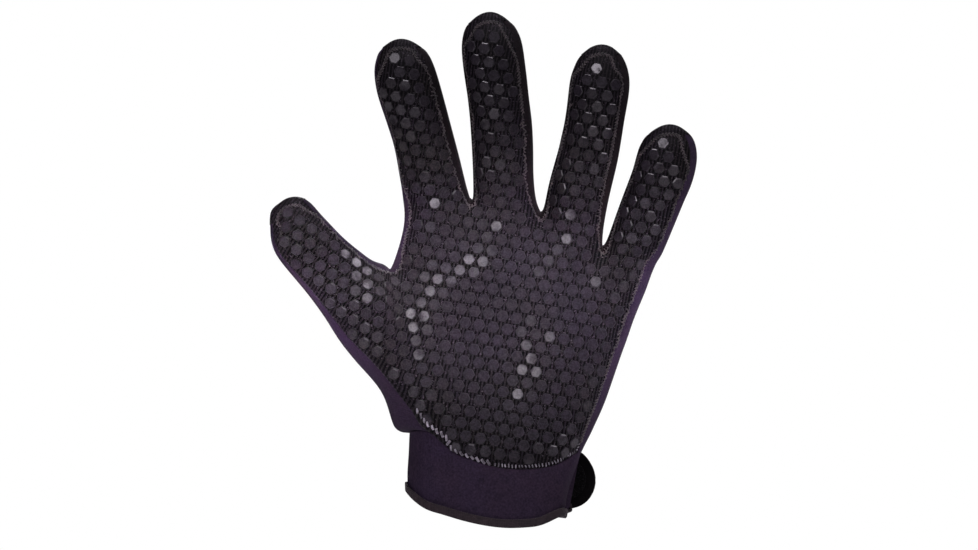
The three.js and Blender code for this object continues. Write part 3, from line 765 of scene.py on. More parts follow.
def outline(faces: list[Face]) -> Ring:
    """Walks round the edge of a group of faces.

    Args:
        faces: the group.

    Returns:
        The edge's corners in order, each with the group's normal there.
    """
    inside = set(faces)
    following: dict[Vert, Vert] = {}
    for face in faces:
        for loop in face.loops:
            if not all(other in inside for other in loop.edge.link_faces):
                following[loop.vert] = loop.link_loop_next.vert
    start = min(following, key=lambda vert: (round(vert.co.z, 6), round(vert.co.x, 6)))
    ring = []
    vert = start
    while True:
        near = [face.normal for face in vert.link_faces if face in inside]
        ring.append((vert.co.copy(), sum(near, Vector()).normalized()))
        vert = following[vert]
        if vert is start or len(ring) > len(following):
            return ring


def surface_tree(faces: Iterable[Face]) -> BVHTree:
    """Makes a search tree over some faces of a bmesh.

    Args:
        faces: the faces.

    Returns:
        The tree.
    """
    corners: list[Vector] = []
    polygons = []
    for face in faces:
        polygons.append([len(corners) + i for i in range(len(face.verts))])
        corners.extend(vert.co.copy() for vert in face.verts)
    return BVHTree.FromPolygons(corners, polygons)


def place_tree(places: Iterable[Any]) -> KDTree:
    """Makes a search tree over places, numbered in their order.

    Args:
        places: the places.

    Returns:
        The tree.
    """
    listed = list(places)
    tree = KDTree(len(listed))
    for index, place in enumerate(listed):
        tree.insert(place, index)
    tree.balance()
    return tree


def coordinates(mesh: Mesh) -> np.ndarray:
    """Reads the places of a mesh's vertices.

    Args:
        mesh: the mesh.

    Returns:
        One row for each vertex.
    """
    flat = np.empty(len(mesh.vertices) * 3)
    mesh.vertices.foreach_get("co", flat)
    return flat.reshape(-1, 3)


def rounded(solid: Solid, edges: list[Edge], width: float, segments: int) -> None:
    """Rounds some edges of a solid over a width in millimetres."""
    bmesh.ops.bevel(
        solid, geom=edges, offset=width * MM, offset_type="OFFSET", segments=segments, profile=0.5,
        affect="EDGES", clamp_overlap=True, material=-1)


def softened(solid: Solid, edges: list[Edge], width: float) -> Mesh:
    """Rounds the edges of a solid and subdivides it, so that it still passes through its own corners.

    Args:
        solid: the solid, which is used up.
        edges: the edges to round.
        width: how wide they are rounded.

    Returns:
        The smooth mesh.
    """
    rounded(solid, edges, width, 2)
    mesh = bpy.data.meshes.new("cage")
    solid.to_mesh(mesh)
    solid.free()
    helper = bpy.data.objects.new("cage", mesh)
    bpy.context.scene.collection.objects.link(helper)
    smooth = helper.modifiers.new("smooth", "SUBSURF")
    smooth.levels = SMOOTHING
    smooth.render_levels = SMOOTHING
    smooth.boundary_smooth = "ALL"
    target = coordinates(mesh)
    cage = target.copy()
    for _ in range(CAGE_ROUNDS):
        view = bpy.context.evaluated_depsgraph_get()
        cage += CAGE_PULL * (target - coordinates(helper.evaluated_get(view).data)[:len(target)])
        mesh.vertices.foreach_set("co", cage.ravel())
        mesh.update()
    view = bpy.context.evaluated_depsgraph_get()
    fine = bpy.data.meshes.new_from_object(helper.evaluated_get(view))
    bpy.data.objects.remove(helper)
    bpy.data.meshes.remove(mesh)
    return fine


def new_piece(name: str, mesh: Mesh, material: Material, smooth: bool = True) -> Piece:
    """Puts a finished mesh in the scene as a piece that rides on the glove.

    Args:
        name: the piece's name.
        mesh: its mesh, in place.
        material: its material.
        smooth: whether its faces are shaded as one rounded surface.

    Returns:
        The new object.
    """
    mesh.name = name
    mesh.materials.clear()
    mesh.materials.append(material)
    mesh.polygons.foreach_set("use_smooth", [smooth] * len(mesh.polygons))
    piece = bpy.data.objects.new(name, mesh)
    bpy.context.scene.collection.objects.link(piece)
    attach(piece, BODY)
    log.info("%s: %d faces", name, len(mesh.polygons))
    return piece


@dataclass
class ClothShell:
    """A cloth panel made from its CAD solid, with a rounded rim and the drape's folds."""

    node: str
    slot: str
    wall: float
    rim_round: float = 0.45
    seam_fade: float = 3.0
    seam: Ring = field(default_factory=list, init=False)

    def build(self, material: Material, drape: Drape) -> Piece:
        """Makes the panel, and keeps the edge of its outer side as its seam.

        Args:
            material: its cloth.
            drape: the folds that are pressed into its outer side.

        Returns:
            The finished piece.
        """
        solid = quad_copy(self.node)
        groups = regions(solid)
        outer, inner = groups[Side.OUTER], groups[Side.INNER]
        outer_tree, inner_tree = surface_tree(outer), surface_tree(inner)
        self.seam = outline(outer)
        kind = dict.fromkeys(outer, Side.OUTER) | dict.fromkeys(inner, Side.INNER)
        rims = [edge for edge in solid.edges
                if len({kind.get(face, Side.RIM) for face in edge.link_faces}) > 1]
        mesh = softened(solid, rims, self.rim_round)
        self.fold(mesh, drape, outer_tree, inner_tree)
        piece = new_piece(self.node + "_cloth", mesh, material)
        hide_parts(self.node)
        return piece

    def fold(self, mesh: Mesh, drape: Drape, outer: BVHTree, inner: BVHTree) -> None:
        """Presses the folds into the outer side of the wall, and leaves its seams where they are.

        Args:
            mesh: the fine mesh, which is changed.
            drape: the folds.
            outer: the outer side before smoothing.
            inner: the inner side before smoothing.
        """
        seams = place_tree(spot for spot, _ in self.seam)
        normals = [vertex.normal.copy() for vertex in mesh.vertices]
        for vertex, normal in zip(mesh.vertices, normals):
            spot = vertex.co
            near = outer.find_nearest(spot)[3]
            far = inner.find_nearest(spot)[3]
            weight = 2.0 * smoothstep(0.5 + (far - near) / (self.wall * MM)) - 1.0
            if weight >= 0.0:
                weight *= smoothstep(seams.find(spot)[2] / (self.seam_fade * MM))
                vertex.co = spot + normal * (drape.rise(spot, normal) * weight)


@dataclass
class TrimPiece:
    """A tape, strap or patch made from its CAD solid, with softened edges."""

    node: str
    slot: str
    round: float
    sharp: float = math.radians(40.0)

    def build(self, material: Material) -> None:
        """Rounds the solid's sharp edges and smooths it.

        Args:
            material: the piece's cloth.
        """
        solid = quad_copy(self.node)
        edges = [edge for edge in solid.edges if edge.calc_face_angle(0.0) > self.sharp]
        piece = new_piece(self.node + "_trim", softened(solid, edges, self.round), material)
        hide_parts(self.node)


# The surface of the finished cloth, and small shapes that repeat on it


class ClothSurface:
    """The outside of several finished cloth pieces, to lay pads and thread on."""

    # How far off the cloth a look back on to it starts, and how far before the palm a look at it starts.
    REACH_OUT = 2.0
    LOOK_FROM = -300.0

    def __init__(self, pieces: dict[str, Piece]) -> None:
        """Gathers the pieces.

        Args:
            pieces: the finished objects by the name of their node.
        """
        self.corners: list[Vector] = []
        self.polygons: list[list[int]] = []
        self.names: list[str] = []
        self.normals: list[Vector] = []
        for name, piece in pieces.items():
            first = len(self.corners)
            self.corners.extend(vertex.co.copy() for vertex in piece.data.vertices)
            self.normals.extend(vertex.normal.copy() for vertex in piece.data.vertices)
            for polygon in piece.data.polygons:
                self.polygons.append([first + index for index in polygon.vertices])
                self.names.append(name)
        self.tree = BVHTree.FromPolygons(self.corners, self.polygons)

    def from_palm(self, x: float, z: float) -> Vector | None:
        """The first spot that a look from the palm meets at a place x, z in metres."""
        return self.tree.ray_cast(Vector((x, self.LOOK_FROM * MM, z)), Vector((0.0, 1.0, 0.0)))[0]

    def nearest(self, spot: Vector) -> tuple[Vector, Vector, str]:
        """Finds the nearest spot of the cloth.

        Args:
            spot: a place.

        Returns:
            The spot with its smooth normal and its piece's name.
        """
        found, flat, index, _ = self.tree.find_nearest(spot)
        total = Vector()
        for corner in self.polygons[index]:
            total += self.normals[corner] / (1e-6 + (self.corners[corner] - found).length)
        normal = total.normalized()
        return found, normal if normal.dot(flat) > 0.2 else flat, self.names[index]

    def outermost(self, spot: Vector, outward: Vector) -> Vector:
        """Finds the first spot that a look back along a direction meets, close to a place on the cloth.

        Args:
            spot: the place, which may be down in a seam.
            outward: the direction away from the cloth.

        Returns:
            The spot, or the nearest one where the look meets nothing.
        """
        start = spot + outward * (self.REACH_OUT * MM)
        found = self.tree.ray_cast(start, -outward, 2.0 * self.REACH_OUT * MM)[0]
        return self.nearest(spot)[0] if found is None else found


class Copies:
    """Many copies of one small shape, gathered in one mesh."""

    def __init__(self, shape: Solid) -> None:
        """Keeps the shape as a mesh to copy.

        Args:
            shape: the shape round the origin, which is used up.
        """
        self.shape = bpy.data.meshes.new("shape")
        shape.to_mesh(self.shape)
        shape.free()
        self.rest = coordinates(self.shape)
        self.gathered = bmesh.new()
        self.count = 0

    def add(self, centre: Vector, along: Vector, upward: Vector, length: float = 1.0) -> None:
        """Adds a copy.

        Args:
            centre: where its origin lies.
            along: the direction of its X.
            upward: the direction of its Z, square to along.
            length: how much it is stretched along X.
        """
        basis = np.array([np.array(along) * length, np.array(upward.cross(along)), np.array(upward)])
        places = np.array(centre) + self.rest @ basis
        self.shape.vertices.foreach_set("co", places.ravel())
        self.gathered.from_mesh(self.shape)
        self.count += 1

    def mesh(self) -> Mesh:
        """Joins all the copies.

        Returns:
            One mesh.
        """
        made = bpy.data.meshes.new("copies")
        bmesh.ops.recalc_face_normals(self.gathered, faces=self.gathered.faces)
        self.gathered.to_mesh(made)
        self.gathered.free()
        bpy.data.meshes.remove(self.shape)
        return made


# Grip pads


@dataclass
class GripPads:
    """Raised rubber hexagons in a regular lattice all over the palm's cloth.

    rows is how far the lattice is looked at each way, and cloth_limit bounds it. While the pads settle, pull
    and push say how much of a distance that is too long or too short goes in a round, and longest_link how
    many pitches neighbours may lie apart. The last three sizes fit the cloth's grain to the pads.
    """

    surface: ClothSurface
    pitch: float = 6.25
    across_flats: float = 4.8
    rows_turned: float = math.radians(-10.0)
    height: float = 0.5
    buried: float = 0.8
    edge: float = 0.32
    # A thin flared ring juts out round each pad's foot and is coloured near black as painted shadow. The two
    # sizes below are how far it juts out and how high it lies.
    shadow_skirt: float = 0.22
    shadow_skirt_height: float = 0.14
    corner: float = 0.2
    unevenness: float = 0.03
    seed: int = 7
    seam_margin: float = 2.5
    seam_step: float = 0.4
    first_pad: Spot = (16.94, 88.35)
    rows: int = 34
    cloth_limit: float = 190.0
    settling_rounds: int = 40
    pull: float = 0.06
    push: float = 0.16
    longest_link: float = 1.7
    counted_pads: int = 9
    counted_reach: float = 1.1
    slope_hold: float = 0.02
    settled: dict[Key, Vector] = field(default_factory=dict, init=False)

    def shape(self) -> Solid:
        """Makes one pad round the origin: a hexagon with rounded corners, a bevelled edge and a flat top.

        Returns:
            The pad, open below, with a thin ring on the cloth round its foot that carries a painted shadow.
        """
        pad = bmesh.new()
        bmesh.ops.create_circle(
            pad, cap_ends=True, segments=6, radius=self.across_flats * MM / math.sqrt(3.0),
            matrix=Matrix.Translation((0.0, 0.0, -self.buried * MM)))
        turn = Matrix.Rotation(math.radians(30.0), 3, "Z")
        bmesh.ops.rotate(pad, verts=pad.verts, cent=(0, 0, 0), matrix=turn)
        raised = bmesh.ops.extrude_face_region(pad, geom=list(pad.faces))["geom"]
        tops = [item for item in raised if isinstance(item, Vert)]
        bmesh.ops.translate(pad, verts=tops, vec=(0.0, 0.0, (self.buried + self.height) * MM))
        uprights = [edge for edge in pad.edges if abs(edge.verts[0].co.z - edge.verts[1].co.z) > 0.1 * MM]
        rounded(pad, uprights, self.corner, 1)
        top = max(pad.faces, key=lambda face: face.calc_center_median().z)
        rounded(pad, list(top.edges), self.edge, 1)
        pad.normal_update()
        floor = [face for face in pad.faces if face.normal.z < -0.9]
        bmesh.ops.delete(pad, geom=floor, context="FACES_ONLY")
        foot = [edge for edge in pad.edges if edge.is_boundary]
        for vert in {vert for edge in foot for vert in edge.verts}:
            vert.co.z = self.shadow_skirt_height * MM
        wide = 1.0 + 2.0 * self.shadow_skirt / self.across_flats
        for factor, height in ((wide, self.shadow_skirt_height), (1.0, -self.buried)):
            spread = bmesh.ops.extrude_edge_only(pad, edges=foot)["geom"]
            for vert in spread:
                if isinstance(vert, Vert):
                    vert.co = Vector((vert.co.x * factor, vert.co.y * factor, height * MM))
            foot = [edge for edge in spread if isinstance(edge, Edge) and edge.is_boundary]
        return pad

    def grain(self, i: int, j: int) -> tuple[float, float]:
        """A lattice point's place across and along the cloth's ribs, in millimetres."""
        return self.pitch * (i + 0.5 * j), -self.pitch * j * math.sqrt(0.75)

    def lattice(self) -> dict[Key, Vector]:
        """Finds the lattice points that a look from the palm meets, before they settle.

        Returns:
            Spots on the cloth by their two lattice numbers.
        """
        lay = ClothLay()
        start = lay.flat(*self.first_pad)
        cosine, sine = math.cos(self.rows_turned), math.sin(self.rows_turned)
        numbers = range(-self.rows, self.rows + 1)
        found = {}
        for i, j in ((i, j) for i in numbers for j in numbers):
            across, along = self.grain(i, j)
            u = start[0] + across * cosine - along * sine
            v = start[1] + across * sine + along * cosine
            if abs(u) > self.cloth_limit or abs(v) > self.cloth_limit:
                continue
            x, z = lay.seen(u, v)
            hit = self.surface.from_palm(x * MM, z * MM)
            if hit is not None:
                found[(i, j)] = hit
        return found

    def settle(self) -> None:
        """Evens out the distances between neighbouring lattice points on the curved cloth."""
        found = self.lattice()
        number = {key: index for index, key in enumerate(found)}
        spots = np.array([tuple(spot) for spot in found.values()])
        pairs = []
        for (i, j), here in number.items():
            for beside in ((i + 1, j), (i, j + 1), (i + 1, j - 1)):
                other = number.get(beside, here)
                gap = np.linalg.norm(spots[here] - spots[other])
                if other != here and gap < self.longest_link * self.pitch * MM:
                    pairs.append((here, other))
        ends = np.array(pairs)
        for _ in range(self.settling_rounds):
            span = spots[ends[:, 1]] - spots[ends[:, 0]]
            length = np.linalg.norm(span, axis=1, keepdims=True)
            excess = length - self.pitch * MM
            step = span / length * excess * np.where(excess > 0.0, self.pull, self.push)
            moved = np.zeros_like(spots)
            np.add.at(moved, ends[:, 0], step)
            np.add.at(moved, ends[:, 1], -step)
            spots = np.array([tuple(self.surface.nearest(Vector(spot))[0]) for spot in spots + moved])
        self.settled = {key: Vector(spot) for key, spot in zip(found, spots)}

    def build(self, seam: Ring, material: Material) -> None:
        """Makes all the pads.

        Args:
            seam: the ring that the pads lie in.
            material: the rubber.
        """
        self.settle()
        copies = Copies(self.shape())
        path = SeamPath(seam, self.seam_step, closed=True)
        edge = place_tree(path.spots())
        chance = random.Random(self.seed)
        for key, spot in self.settled.items():
            lean_right = chance.gauss(0.0, self.unevenness)
            lean_up = chance.gauss(0.0, self.unevenness)
            centre, normal, name = self.surface.nearest(spot)
            if name != PALM or edge.find(centre)[2] < self.seam_margin * MM or not path.surrounds(centre):
                continue
            right = square_to(normal, self.row(key, centre))
            outward = normal.copy()
            for turn in range(6):
                way = Matrix.Rotation(math.radians(60.0 * turn), 3, normal) @ right
                outward += self.surface.nearest(centre + way * (self.across_flats * MM / 2.0))[1]
            outward = outward.normalized()
            right = square_to(outward, right)
            outward = (outward - right * lean_right - outward.cross(right) * lean_up).normalized()
            copies.add(centre, square_to(outward, right), outward)
        log.info("grip pads: %d of %d lattice points", copies.count, len(self.settled))
        # Vertices as low as the ring round the foot get the mask of the painted shadow.
        rims = np.tile(copies.rest[:, 2] < (self.shadow_skirt_height + 0.01) * MM, copies.count).astype(float)
        mesh = copies.mesh()
        mesh.attributes.new(PAD_SHADOW_ATTRIBUTE, "FLOAT", "POINT").data.foreach_set("value", rims)
        new_piece("grip_pads", mesh, material, smooth=False)

    def row(self, key: Key, centre: Vector) -> Vector:
        """Finds the direction along a pad's row, from its neighbours.

        Args:
            key: the pad's lattice numbers.
            centre: its place.

        Returns:
            A direction.
        """
        after = self.settled.get((key[0] + 1, key[1]), centre)
        before = self.settled.get((key[0] - 1, key[1]), centre)
        if after is before:
            return Vector((math.cos(self.rows_turned), 0.0, math.sin(self.rows_turned)))
        return (after - before).normalized()

    def lay(self, piece: Piece) -> None:
        """Writes each vertex's place on the cloth's grain, fitted to the pads round it.

        Args:
            piece: the palm's cloth.
        """
        spots = np.array([tuple(spot) for spot in self.settled.values()])
        grain = np.array([self.grain(*key) for key in self.settled])
        pads = place_tree(spots)
        here = coordinates(piece.data)
        found = np.array([[index for _, index, _ in pads.find_n(spot, self.counted_pads)] for spot in here])
        offset = (spots[found] - here[:, None, :]) / MM
        distance = np.linalg.norm(offset, axis=2)
        weight = np.exp(-(distance / (self.counted_reach * self.pitch)) ** 2) + 1e-6
        terms = np.concatenate([np.ones_like(offset[:, :, :1]), offset], axis=2)
        weighted = terms * weight[:, :, None]
        hold = np.diag([0.0, self.slope_hold, self.slope_hold, self.slope_hold])
        left = np.einsum("nki,nkj->nij", weighted, terms) + hold
        right = np.einsum("nki,nkj->nij", weighted, grain[found])
        places = np.zeros((len(here), 3))
        places[:, :2] = np.linalg.solve(left, right)[:, 0, :] * MM
        attribute = piece.data.attributes.new(CLOTH_ATTRIBUTE, "FLOAT_VECTOR", "POINT")
        attribute.data.foreach_set("vector", places.ravel())


# Sewing


class SeamPath:
    """A line on the cloth with even steps, each with its direction and normal."""

    # Straight parts that the rounded line has between two of its given places.
    PARTS = 8

    def __init__(self, ring: Ring, step: float, closed: bool) -> None:
        """Walks a rounded line through the given places.

        Args:
            ring: places with normals.
            step: distance between two steps in millimetres.
            closed: whether the line runs back to its start.
        """
        count = len(ring)
        fine: Ring = []
        for i in range(count if closed else count - 1):
            numbers = range(i - 1, i + 3)
            around = [ring[k % count if closed else min(count - 1, max(0, k))] for k in numbers]
            for part in range(self.PARTS):
                t = part / self.PARTS
                weights = (
                    (-t + 2 * t * t - t ** 3) / 2, (2 - 5 * t * t + 3 * t ** 3) / 2,
                    (t + 4 * t * t - 3 * t ** 3) / 2, (t ** 3 - t * t) / 2)
                spot = sum((p[0] * w for p, w in zip(around, weights)), Vector())
                fine.append((spot, around[1][1].lerp(around[2][1], t)))
        fine.append(ring[0] if closed else ring[-1])
        lengths = [0.0]
        for before, after in zip(fine, fine[1:]):
            lengths.append(lengths[-1] + (after[0] - before[0]).length)
        length = lengths[-1]
        steps = max(2, round(length / (step * MM)))
        self.steps: list[tuple[Vector, Vector, Vector]] = []
        at = 0
        for k in range(steps):
            distance = length * k / steps
            while lengths[at + 1] < distance:
                at += 1
            share = (distance - lengths[at]) / max(1e-9, lengths[at + 1] - lengths[at])
            (spot, normal), (next_spot, next_normal) = fine[at], fine[at + 1]
            self.steps.append((spot.lerp(next_spot, share), normal.lerp(next_normal, share).normalized(),
                               (next_spot - spot).normalized()))

    def spots(self) -> list[Vector]:
        """The places of the steps."""
        return [spot for spot, _, _ in self.steps]

    def surrounds(self, spot: Vector) -> bool:
        """Finds whether a spot lies inside the line, as seen from the palm.

        Args:
            spot: the spot.

        Returns:
            True inside.
        """
        inside = False
        line = self.spots()
        for a, b in zip(line, line[1:] + line[:1]):
            if (a.z > spot.z) != (b.z > spot.z):
                inside ^= spot.x < a.x + (spot.z - a.z) * (b.x - a.x) / (b.z - a.z)
        return inside

    def part(self, left: float, right: float) -> "SeamPath":
        """This path with only those steps whose place along X, in metres, lies between two limits."""
        self.steps = [step for step in self.steps if left <= step[0].x < right]
        return self


class StitchKind(Enum):
    """How the thread runs over a seam: start and end of each leg of a stitch.

    Each end is a share of the pitch along the seam and a share of the reach across it. A plait's inner ends
    lie 0.15 mm beside the seam where the reach is 0.85 mm.
    """

    BEAD = (((-0.38, 1.0), (0.38, -1.0)),)
    PLAIT = (((-0.4, 1.0), (0.55, -0.15 / 0.85)), ((0.1, -1.0), (1.05, 0.15 / 0.85)))
    WHIP = (((0.1, -1.0), (-0.1, 1.0)),)


@dataclass
class Sewing:
    """Short thread stitches along seams."""

    name: str
    slot: str
    kind: StitchKind = StitchKind.PLAIT
    pitch: float = 1.45
    reach: float = 0.85
    thread: float = 0.28
    lift: float = 0.2
    unevenness: float = 0.16
    seed: int = 5
    sides: int = 6
    joints: int = 4
    dip: float = 0.42

    def shape(self) -> Solid:
        """Makes one leg of a stitch, 1 unit long along X, that dips into the cloth at both ends.

        Returns:
            The thread, open at its ends.
        """
        leg = bmesh.new()
        bmesh.ops.create_circle(leg, cap_ends=False, segments=self.sides, radius=self.thread * MM)
        turn = Matrix.Rotation(math.pi / 2, 3, "Y")
        bmesh.ops.rotate(leg, verts=leg.verts, cent=(0, 0, 0), matrix=turn)
        bmesh.ops.translate(leg, verts=leg.verts, vec=(-0.5, 0.0, 0.0))
        edges = list(leg.edges)
        for _ in range(self.joints):
            made = bmesh.ops.extrude_edge_only(leg, edges=edges)["geom"]
            verts = [item for item in made if isinstance(item, Vert)]
            bmesh.ops.translate(leg, verts=verts, vec=(1.0 / self.joints, 0.0, 0.0))
            edges = [item for item in made if isinstance(item, Edge)
                     and all(vert in verts for vert in item.verts)]
        for vert in leg.verts:
            vert.co.z += (self.lift - self.dip * (2.0 * vert.co.x) ** 2) * MM
        return leg

    def build(self, paths: list[SeamPath], surface: ClothSurface, material: Material) -> None:
        """Sews along the paths.

        Args:
            paths: the lines, whose steps are the pitch apart.
            surface: the cloth that the thread lies on.
            material: the thread.
        """
        copies = Copies(self.shape())
        chance = random.Random(self.seed)
        for path in paths:
            for spot, normal, direction in path.steps:
                base, smooth, _ = surface.nearest(spot)
                outward = (smooth + normal).normalized()
                along = square_to(outward, direction)
                side = outward.cross(along)
                for leg in self.kind.value:
                    ends = []
                    for ahead_share, aside_share in leg:
                        ahead = ahead_share * self.pitch + chance.gauss(0.0, self.unevenness * self.reach)
                        aside = aside_share * self.reach + chance.gauss(0.0, self.unevenness * self.reach)
                        wanted = base + along * (ahead * MM) + side * (aside * MM)
                        ends.append(surface.outermost(wanted, outward))
                    span = ends[1] - ends[0]
                    axis = span.normalized()
                    copies.add(ends[0].lerp(ends[1], 0.5), axis, square_to(axis, outward), span.length)
        log.info("%s: %d thread legs", self.name, copies.count)
        new_piece(self.name, copies.mesh(), material)


def runs(ring: Ring, flags: list[bool]) -> list[tuple[Ring, bool]]:
    """Splits a ring into the stretches along which a flag stays the same.

    Args:
        ring: the places in order, joined at the ends.
        flags: one for each place.

    Returns:
        Each stretch with its flag; neighbours share their end place.
    """
    count = len(ring)
    start = next(i for i in range(count) if flags[i] != flags[i - 1])
    made: list[tuple[Ring, bool]] = []
    for index in ((start + k) % count for k in range(count)):
        if not made or made[-1][1] != flags[index]:
            if made:
                made[-1][0].append(ring[index])
            made.append(([], flags[index]))
        made[-1][0].append(ring[index])
    made[-1][0].append(ring[start])
    return [(run, flag) for run, flag in made if len(run) > 2]


# The glove


@dataclass
class Panels:
    """The glove's cloth panels, with the grip pads and the sewing on them.

    The wrist seam has loops up to loops_end along X and upright strokes beyond it, which run as high as
    loops_top and strokes_top. Both lie wrist_inset towards wrist_middle from the panel's edge, and follow
    places of the edge that are more than wrist_step apart.
    """

    wall: float = 2.2
    gusset_wall: float = 1.8
    cuff_wall: float = 2.5
    loops_end: float = 3.0
    loops_top: float = 46.0
    strokes_top: float = 27.0
    wrist_middle: Spot = (5.0, 75.0)
    wrist_inset: float = 1.0
    wrist_step: float = 4.0
    least_shift: float = 0.3
    evening_rounds: int = 3

    def build(self) -> None:
        """Makes the cloth, then the pads and the thread that lie on it."""
        neoprene = Jersey("jersey_neoprene", (0.0145, 0.0098, 0.0215), (0.060, 0.040, 0.079),
                          (0.061, 0.038, 0.066)).make()
        stretch = Jersey("stretch_knit", (0.0005, 0.0004, 0.0006), (0.025, 0.018, 0.023),
                         (0.029, 0.019, 0.022), stitch=0.8, mottling=1.3).make()
        palm = ClothShell(PALM, "grip_fabric", self.wall)
        gussets = [ClothShell(name, "stretch_fabric", self.gusset_wall) for name in GUSSETS]
        panels = [
            (palm, RibKnit().make()),
            (ClothShell(BACK, "neoprene", self.wall), neoprene),
            *((gusset, stretch) for gusset in gussets),
            (ClothShell(CUFF, "neoprene", self.cuff_wall), neoprene),
        ]
        drape = Drape()
        made = {panel.node: panel.build(material, drape) for panel, material in panels}
        surface = ClothSurface(made)
        ring = self.sewn_ring(palm.seam, surface)
        pads = GripPads(surface)
        pads.build(ring, GripRubber().make())
        pads.lay(made[PALM])
        self.sew(surface, ring)

    def sewn_ring(self, seam: Ring, surface: ClothSurface) -> Ring:
        """Finds the line of the palm's seam: the panel's edge, drawn in round the fingertips.

        Args:
            seam: the panel's edge.
            surface: the finished cloth.

        Returns:
            Places with normals, in order round the palm.
        """
        edge = np.array([(spot.x / MM, spot.z / MM) for spot, _ in seam])
        line = edge.copy()
        for finger in FINGERS:
            line = np.array([finger.drawn_in(x, z) for x, z in line])
        moved = np.linalg.norm(line - edge, axis=1) > self.least_shift
        for _ in range(self.evening_rounds):
            beside = (np.roll(line, 1, axis=0) + np.roll(line, -1, axis=0)) / 2.0
            line[moved] = (line[moved] + beside[moved]) / 2.0
        ring = []
        for (spot, normal), (x, z), shifted in zip(seam, line, moved):
            hit = surface.from_palm(x * MM, z * MM) if shifted else None
            ring.append((spot, normal) if hit is None else (hit, surface.nearest(hit)[1]))
        return ring

    def sew(self, surface: ClothSurface, ring: Ring) -> None:
        """Sews the seams between the panels.

        Args:
            surface: the finished cloth.
            ring: the line of the palm's seam.
        """
        brown = Thread("seam_thread", (0.004, 0.003, 0.003), (0.11, 0.082, 0.088)).make()
        pale = Thread("wrist_thread", (0.05, 0.042, 0.055), (0.86, 0.80, 0.92)).make()
        plait = Sewing("palm_seam_stitches", "grip_fabric", unevenness=0.09)
        loops = Sewing("wrist_seam_loops", "grip_fabric", StitchKind.BEAD, 2.5, 0.85, 0.56, 0.5)
        whip = Sewing("wrist_seam_stitches", "grip_fabric", StitchKind.WHIP, 1.5, 0.75, 0.26, 0.25)
        loops_end = self.loops_end * MM
        at_wrist = [spot.z < (self.loops_top if spot.x < loops_end else self.strokes_top) * MM
                    for spot, _ in ring]
        edge, beads, strokes = [], [], []
        for run, low in runs(ring, at_wrist):
            if low:
                run = self.on_palm(run, surface)
                beads.append(SeamPath(run, loops.pitch, closed=False).part(-math.inf, loops_end))
                strokes.append(SeamPath(run, whip.pitch, closed=False).part(loops_end, math.inf))
            else:
                edge.append(SeamPath(run, plait.pitch, closed=False))
        plait.build(edge, surface, brown)
        loops.build(beads, surface, pale)
        whip.build(strokes, surface, pale)

    def on_palm(self, run: Ring, surface: ClothSurface) -> Ring:
        """Moves a stretch of the wrist seam up on to the palm's face.

        Args:
            run: the stretch, with places in order.
            surface: the finished cloth.

        Returns:
            The moved places with their normals.
        """
        middle = Vector((self.wrist_middle[0] * MM, 0.0, self.wrist_middle[1] * MM))
        moved: Ring = []
        for spot, _ in run:
            inward = middle - spot
            inward.y = 0.0
            wanted = spot + inward.normalized() * (self.wrist_inset * MM)
            hit = surface.from_palm(wanted.x, wanted.z)
            if hit is None:
                continue
            if not moved or (hit - moved[-1][0]).length > self.wrist_step * MM:
                moved.append((hit, surface.nearest(hit)[1]))
        return moved


@dataclass
class Cuff:
    """The hem's binding, the closing strap and its hook patch."""

    binding_round: float = 0.5
    strap_round: float = 0.7
    hook_round: float = 0.3

    def build(self) -> None:
        """Makes the three pieces."""
        # The strap's colours are a near black copy of the neoprene: painted shade, standing in for the
        # shadow on the strap's inner face.
        strap = Jersey("strap_knit_painted_shade", (0.0006, 0.0005, 0.0007), (0.0048, 0.0038, 0.0048),
                       (0.0065, 0.0045, 0.0055), stitch=0.5, sheen=0.06)
        TrimPiece(BINDING, "binding_tape", self.binding_round).build(WovenTape().make())
        TrimPiece(STRAP, "strap_fabric", self.strap_round).build(strap.make())
        TrimPiece(HOOK, "hook_tape", self.hook_round).build(HookPile().make())


# Studio


@dataclass(frozen=True)
class Lamp:
    """A soft square light, placed by its direction from the spot on the glove that it points at.

    right, up and spread are degrees, distance and size are metres, and power is watts. mirrored says whether
    glossy surfaces show the lamp, and lighting whether it lights matt ones.
    """

    name: str
    right: float
    up: float
    distance: float
    size: float
    power: float
    tint: Colour = (0.97, 0.90, 1.0)
    spread: float = 180.0
    aim: tuple[float, float, float] = (0.9, 0.0, 102.5)
    mirrored: bool = True
    lighting: bool = True

    def build(self) -> None:
        """Adds the light."""
        right, up = math.radians(self.right), math.radians(self.up)
        away = Vector((math.sin(right) * math.cos(up), -math.cos(right) * math.cos(up), math.sin(up)))
        data = bpy.data.lights.new(self.name, "AREA")
        data.shape = "SQUARE"
        data.size = self.size
        data.energy = self.power
        data.color = self.tint
        data.spread = math.radians(self.spread)
        lamp = bpy.data.objects.new(self.name, data)
        lamp.location = Vector(self.aim) * MM + away * self.distance
        lamp.rotation_euler = away.to_track_quat("Z", "Y").to_euler()
        lamp.visible_glossy = self.mirrored
        lamp.visible_diffuse = self.lighting
        bpy.context.scene.collection.objects.link(lamp)


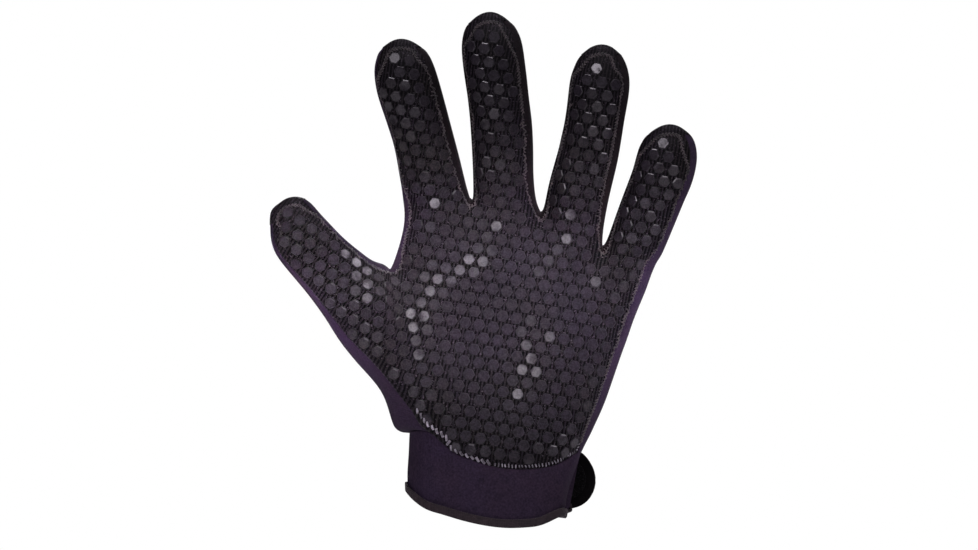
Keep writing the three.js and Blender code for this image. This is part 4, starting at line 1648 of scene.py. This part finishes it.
@dataclass(frozen=True)
class Studio:
    """A pale floor, soft lights and a camera that looks straight at the palm.

    floor_drop and floor_radius are metres.
    """

    middle: Spot = (0.9, 102.5)
    view_width: float = 430.3
    lens: float = 200.0
    sensor: float = 36.0
    floor_drop: float = 0.13
    floor_radius: float = 1.3
    floor_sides: int = 64
    ambient: float = 0.01
    lamps: tuple[Lamp, ...] = (
        Lamp("key_light", -21.0, 18.0, 1.5, 0.48, 5.2),
        Lamp("palm_light", 30.0, 6.0, 1.5, 0.08, 0.058, spread=4.4, aim=(14.0, 0.0, 96.0),
             mirrored=False),
        Lamp("thumb_light", -12.0, 6.0, 1.5, 0.08, 0.042, spread=3.4, aim=(-60.0, 0.0, 104.0),
             mirrored=False),
        Lamp("right_edge_light", 86.0, 50.0, 1.3, 0.4, 3.4),
        Lamp("pad_edge_light", 24.0, 54.0, 1.4, 0.8, 13.0, lighting=False),
        Lamp("top_edge_light", -60.0, 74.0, 1.3, 0.5, 6.4),
        Lamp("back_light", 166.0, 26.0, 1.5, 0.8, 9.0),
    )

    def build(self) -> None:
        """Adds the floor, the lights, the world and the camera."""
        self.floor()
        for lamp in self.lamps:
            lamp.build()
        self.world()
        bpy.context.scene.view_settings.view_transform = "Standard"
        data = bpy.data.cameras.new("camera")
        data.lens = self.lens
        data.sensor_width = self.sensor
        distance = self.lens / self.sensor * self.view_width * MM
        camera = bpy.data.objects.new("camera", data)
        camera.location = (self.middle[0] * MM, -distance, self.middle[1] * MM)
        camera.rotation_euler = (math.pi / 2, 0.0, 0.0)
        bpy.context.scene.collection.objects.link(camera)
        bpy.context.scene.camera = camera

    def world(self) -> None:
        """White behind the glove, with only a little light from all round."""
        world = bpy.data.worlds.new("studio")
        world.use_nodes = True
        nodes, links = world.node_tree.nodes, world.node_tree.links
        background = nodes["Background"]
        background.inputs["Color"].default_value = (1.0, 1.0, 1.0, 1.0)
        rays = nodes.new("ShaderNodeLightPath")
        strength = nodes.new("ShaderNodeMapRange")
        strength.inputs["To Min"].default_value = self.ambient
        strength.inputs["To Max"].default_value = 1.0
        links.new(rays.outputs["Is Camera Ray"], strength.inputs["Value"])
        links.new(strength.outputs["Result"], background.inputs["Strength"])
        bpy.context.scene.world = world

    def floor(self) -> None:
        """A wide round floor well under the glove."""
        low = CAD_BOX[0][2] - self.floor_drop
        sheet = bmesh.new()
        bmesh.ops.create_circle(sheet, cap_ends=True, segments=self.floor_sides, radius=self.floor_radius,
                                matrix=Matrix.Translation((0.0, 0.0, low)))
        mesh = bpy.data.meshes.new("studio_floor")
        sheet.to_mesh(mesh)
        sheet.free()
        paint = Paint("pale_paper")
        base = paint.colour(paint.noise(paint.place(), 300.0), (0.86, 0.86, 0.86), (0.9, 0.9, 0.9))
        normal = paint.bump(paint.noise(paint.place(), 3.0), 0.02)
        mesh.materials.append(paint.finish(base, 0.9, normal, 0.1))
        floor = bpy.data.objects.new("studio_floor", mesh)
        bpy.context.scene.collection.objects.link(floor)


def main() -> None:
    """Builds the glove and the studio."""
    logging.basicConfig(level=logging.INFO, format="%(message)s")
    Panels().build()
    Cuff().build()
    Studio().build()


if __name__ == "__main__":
    main()
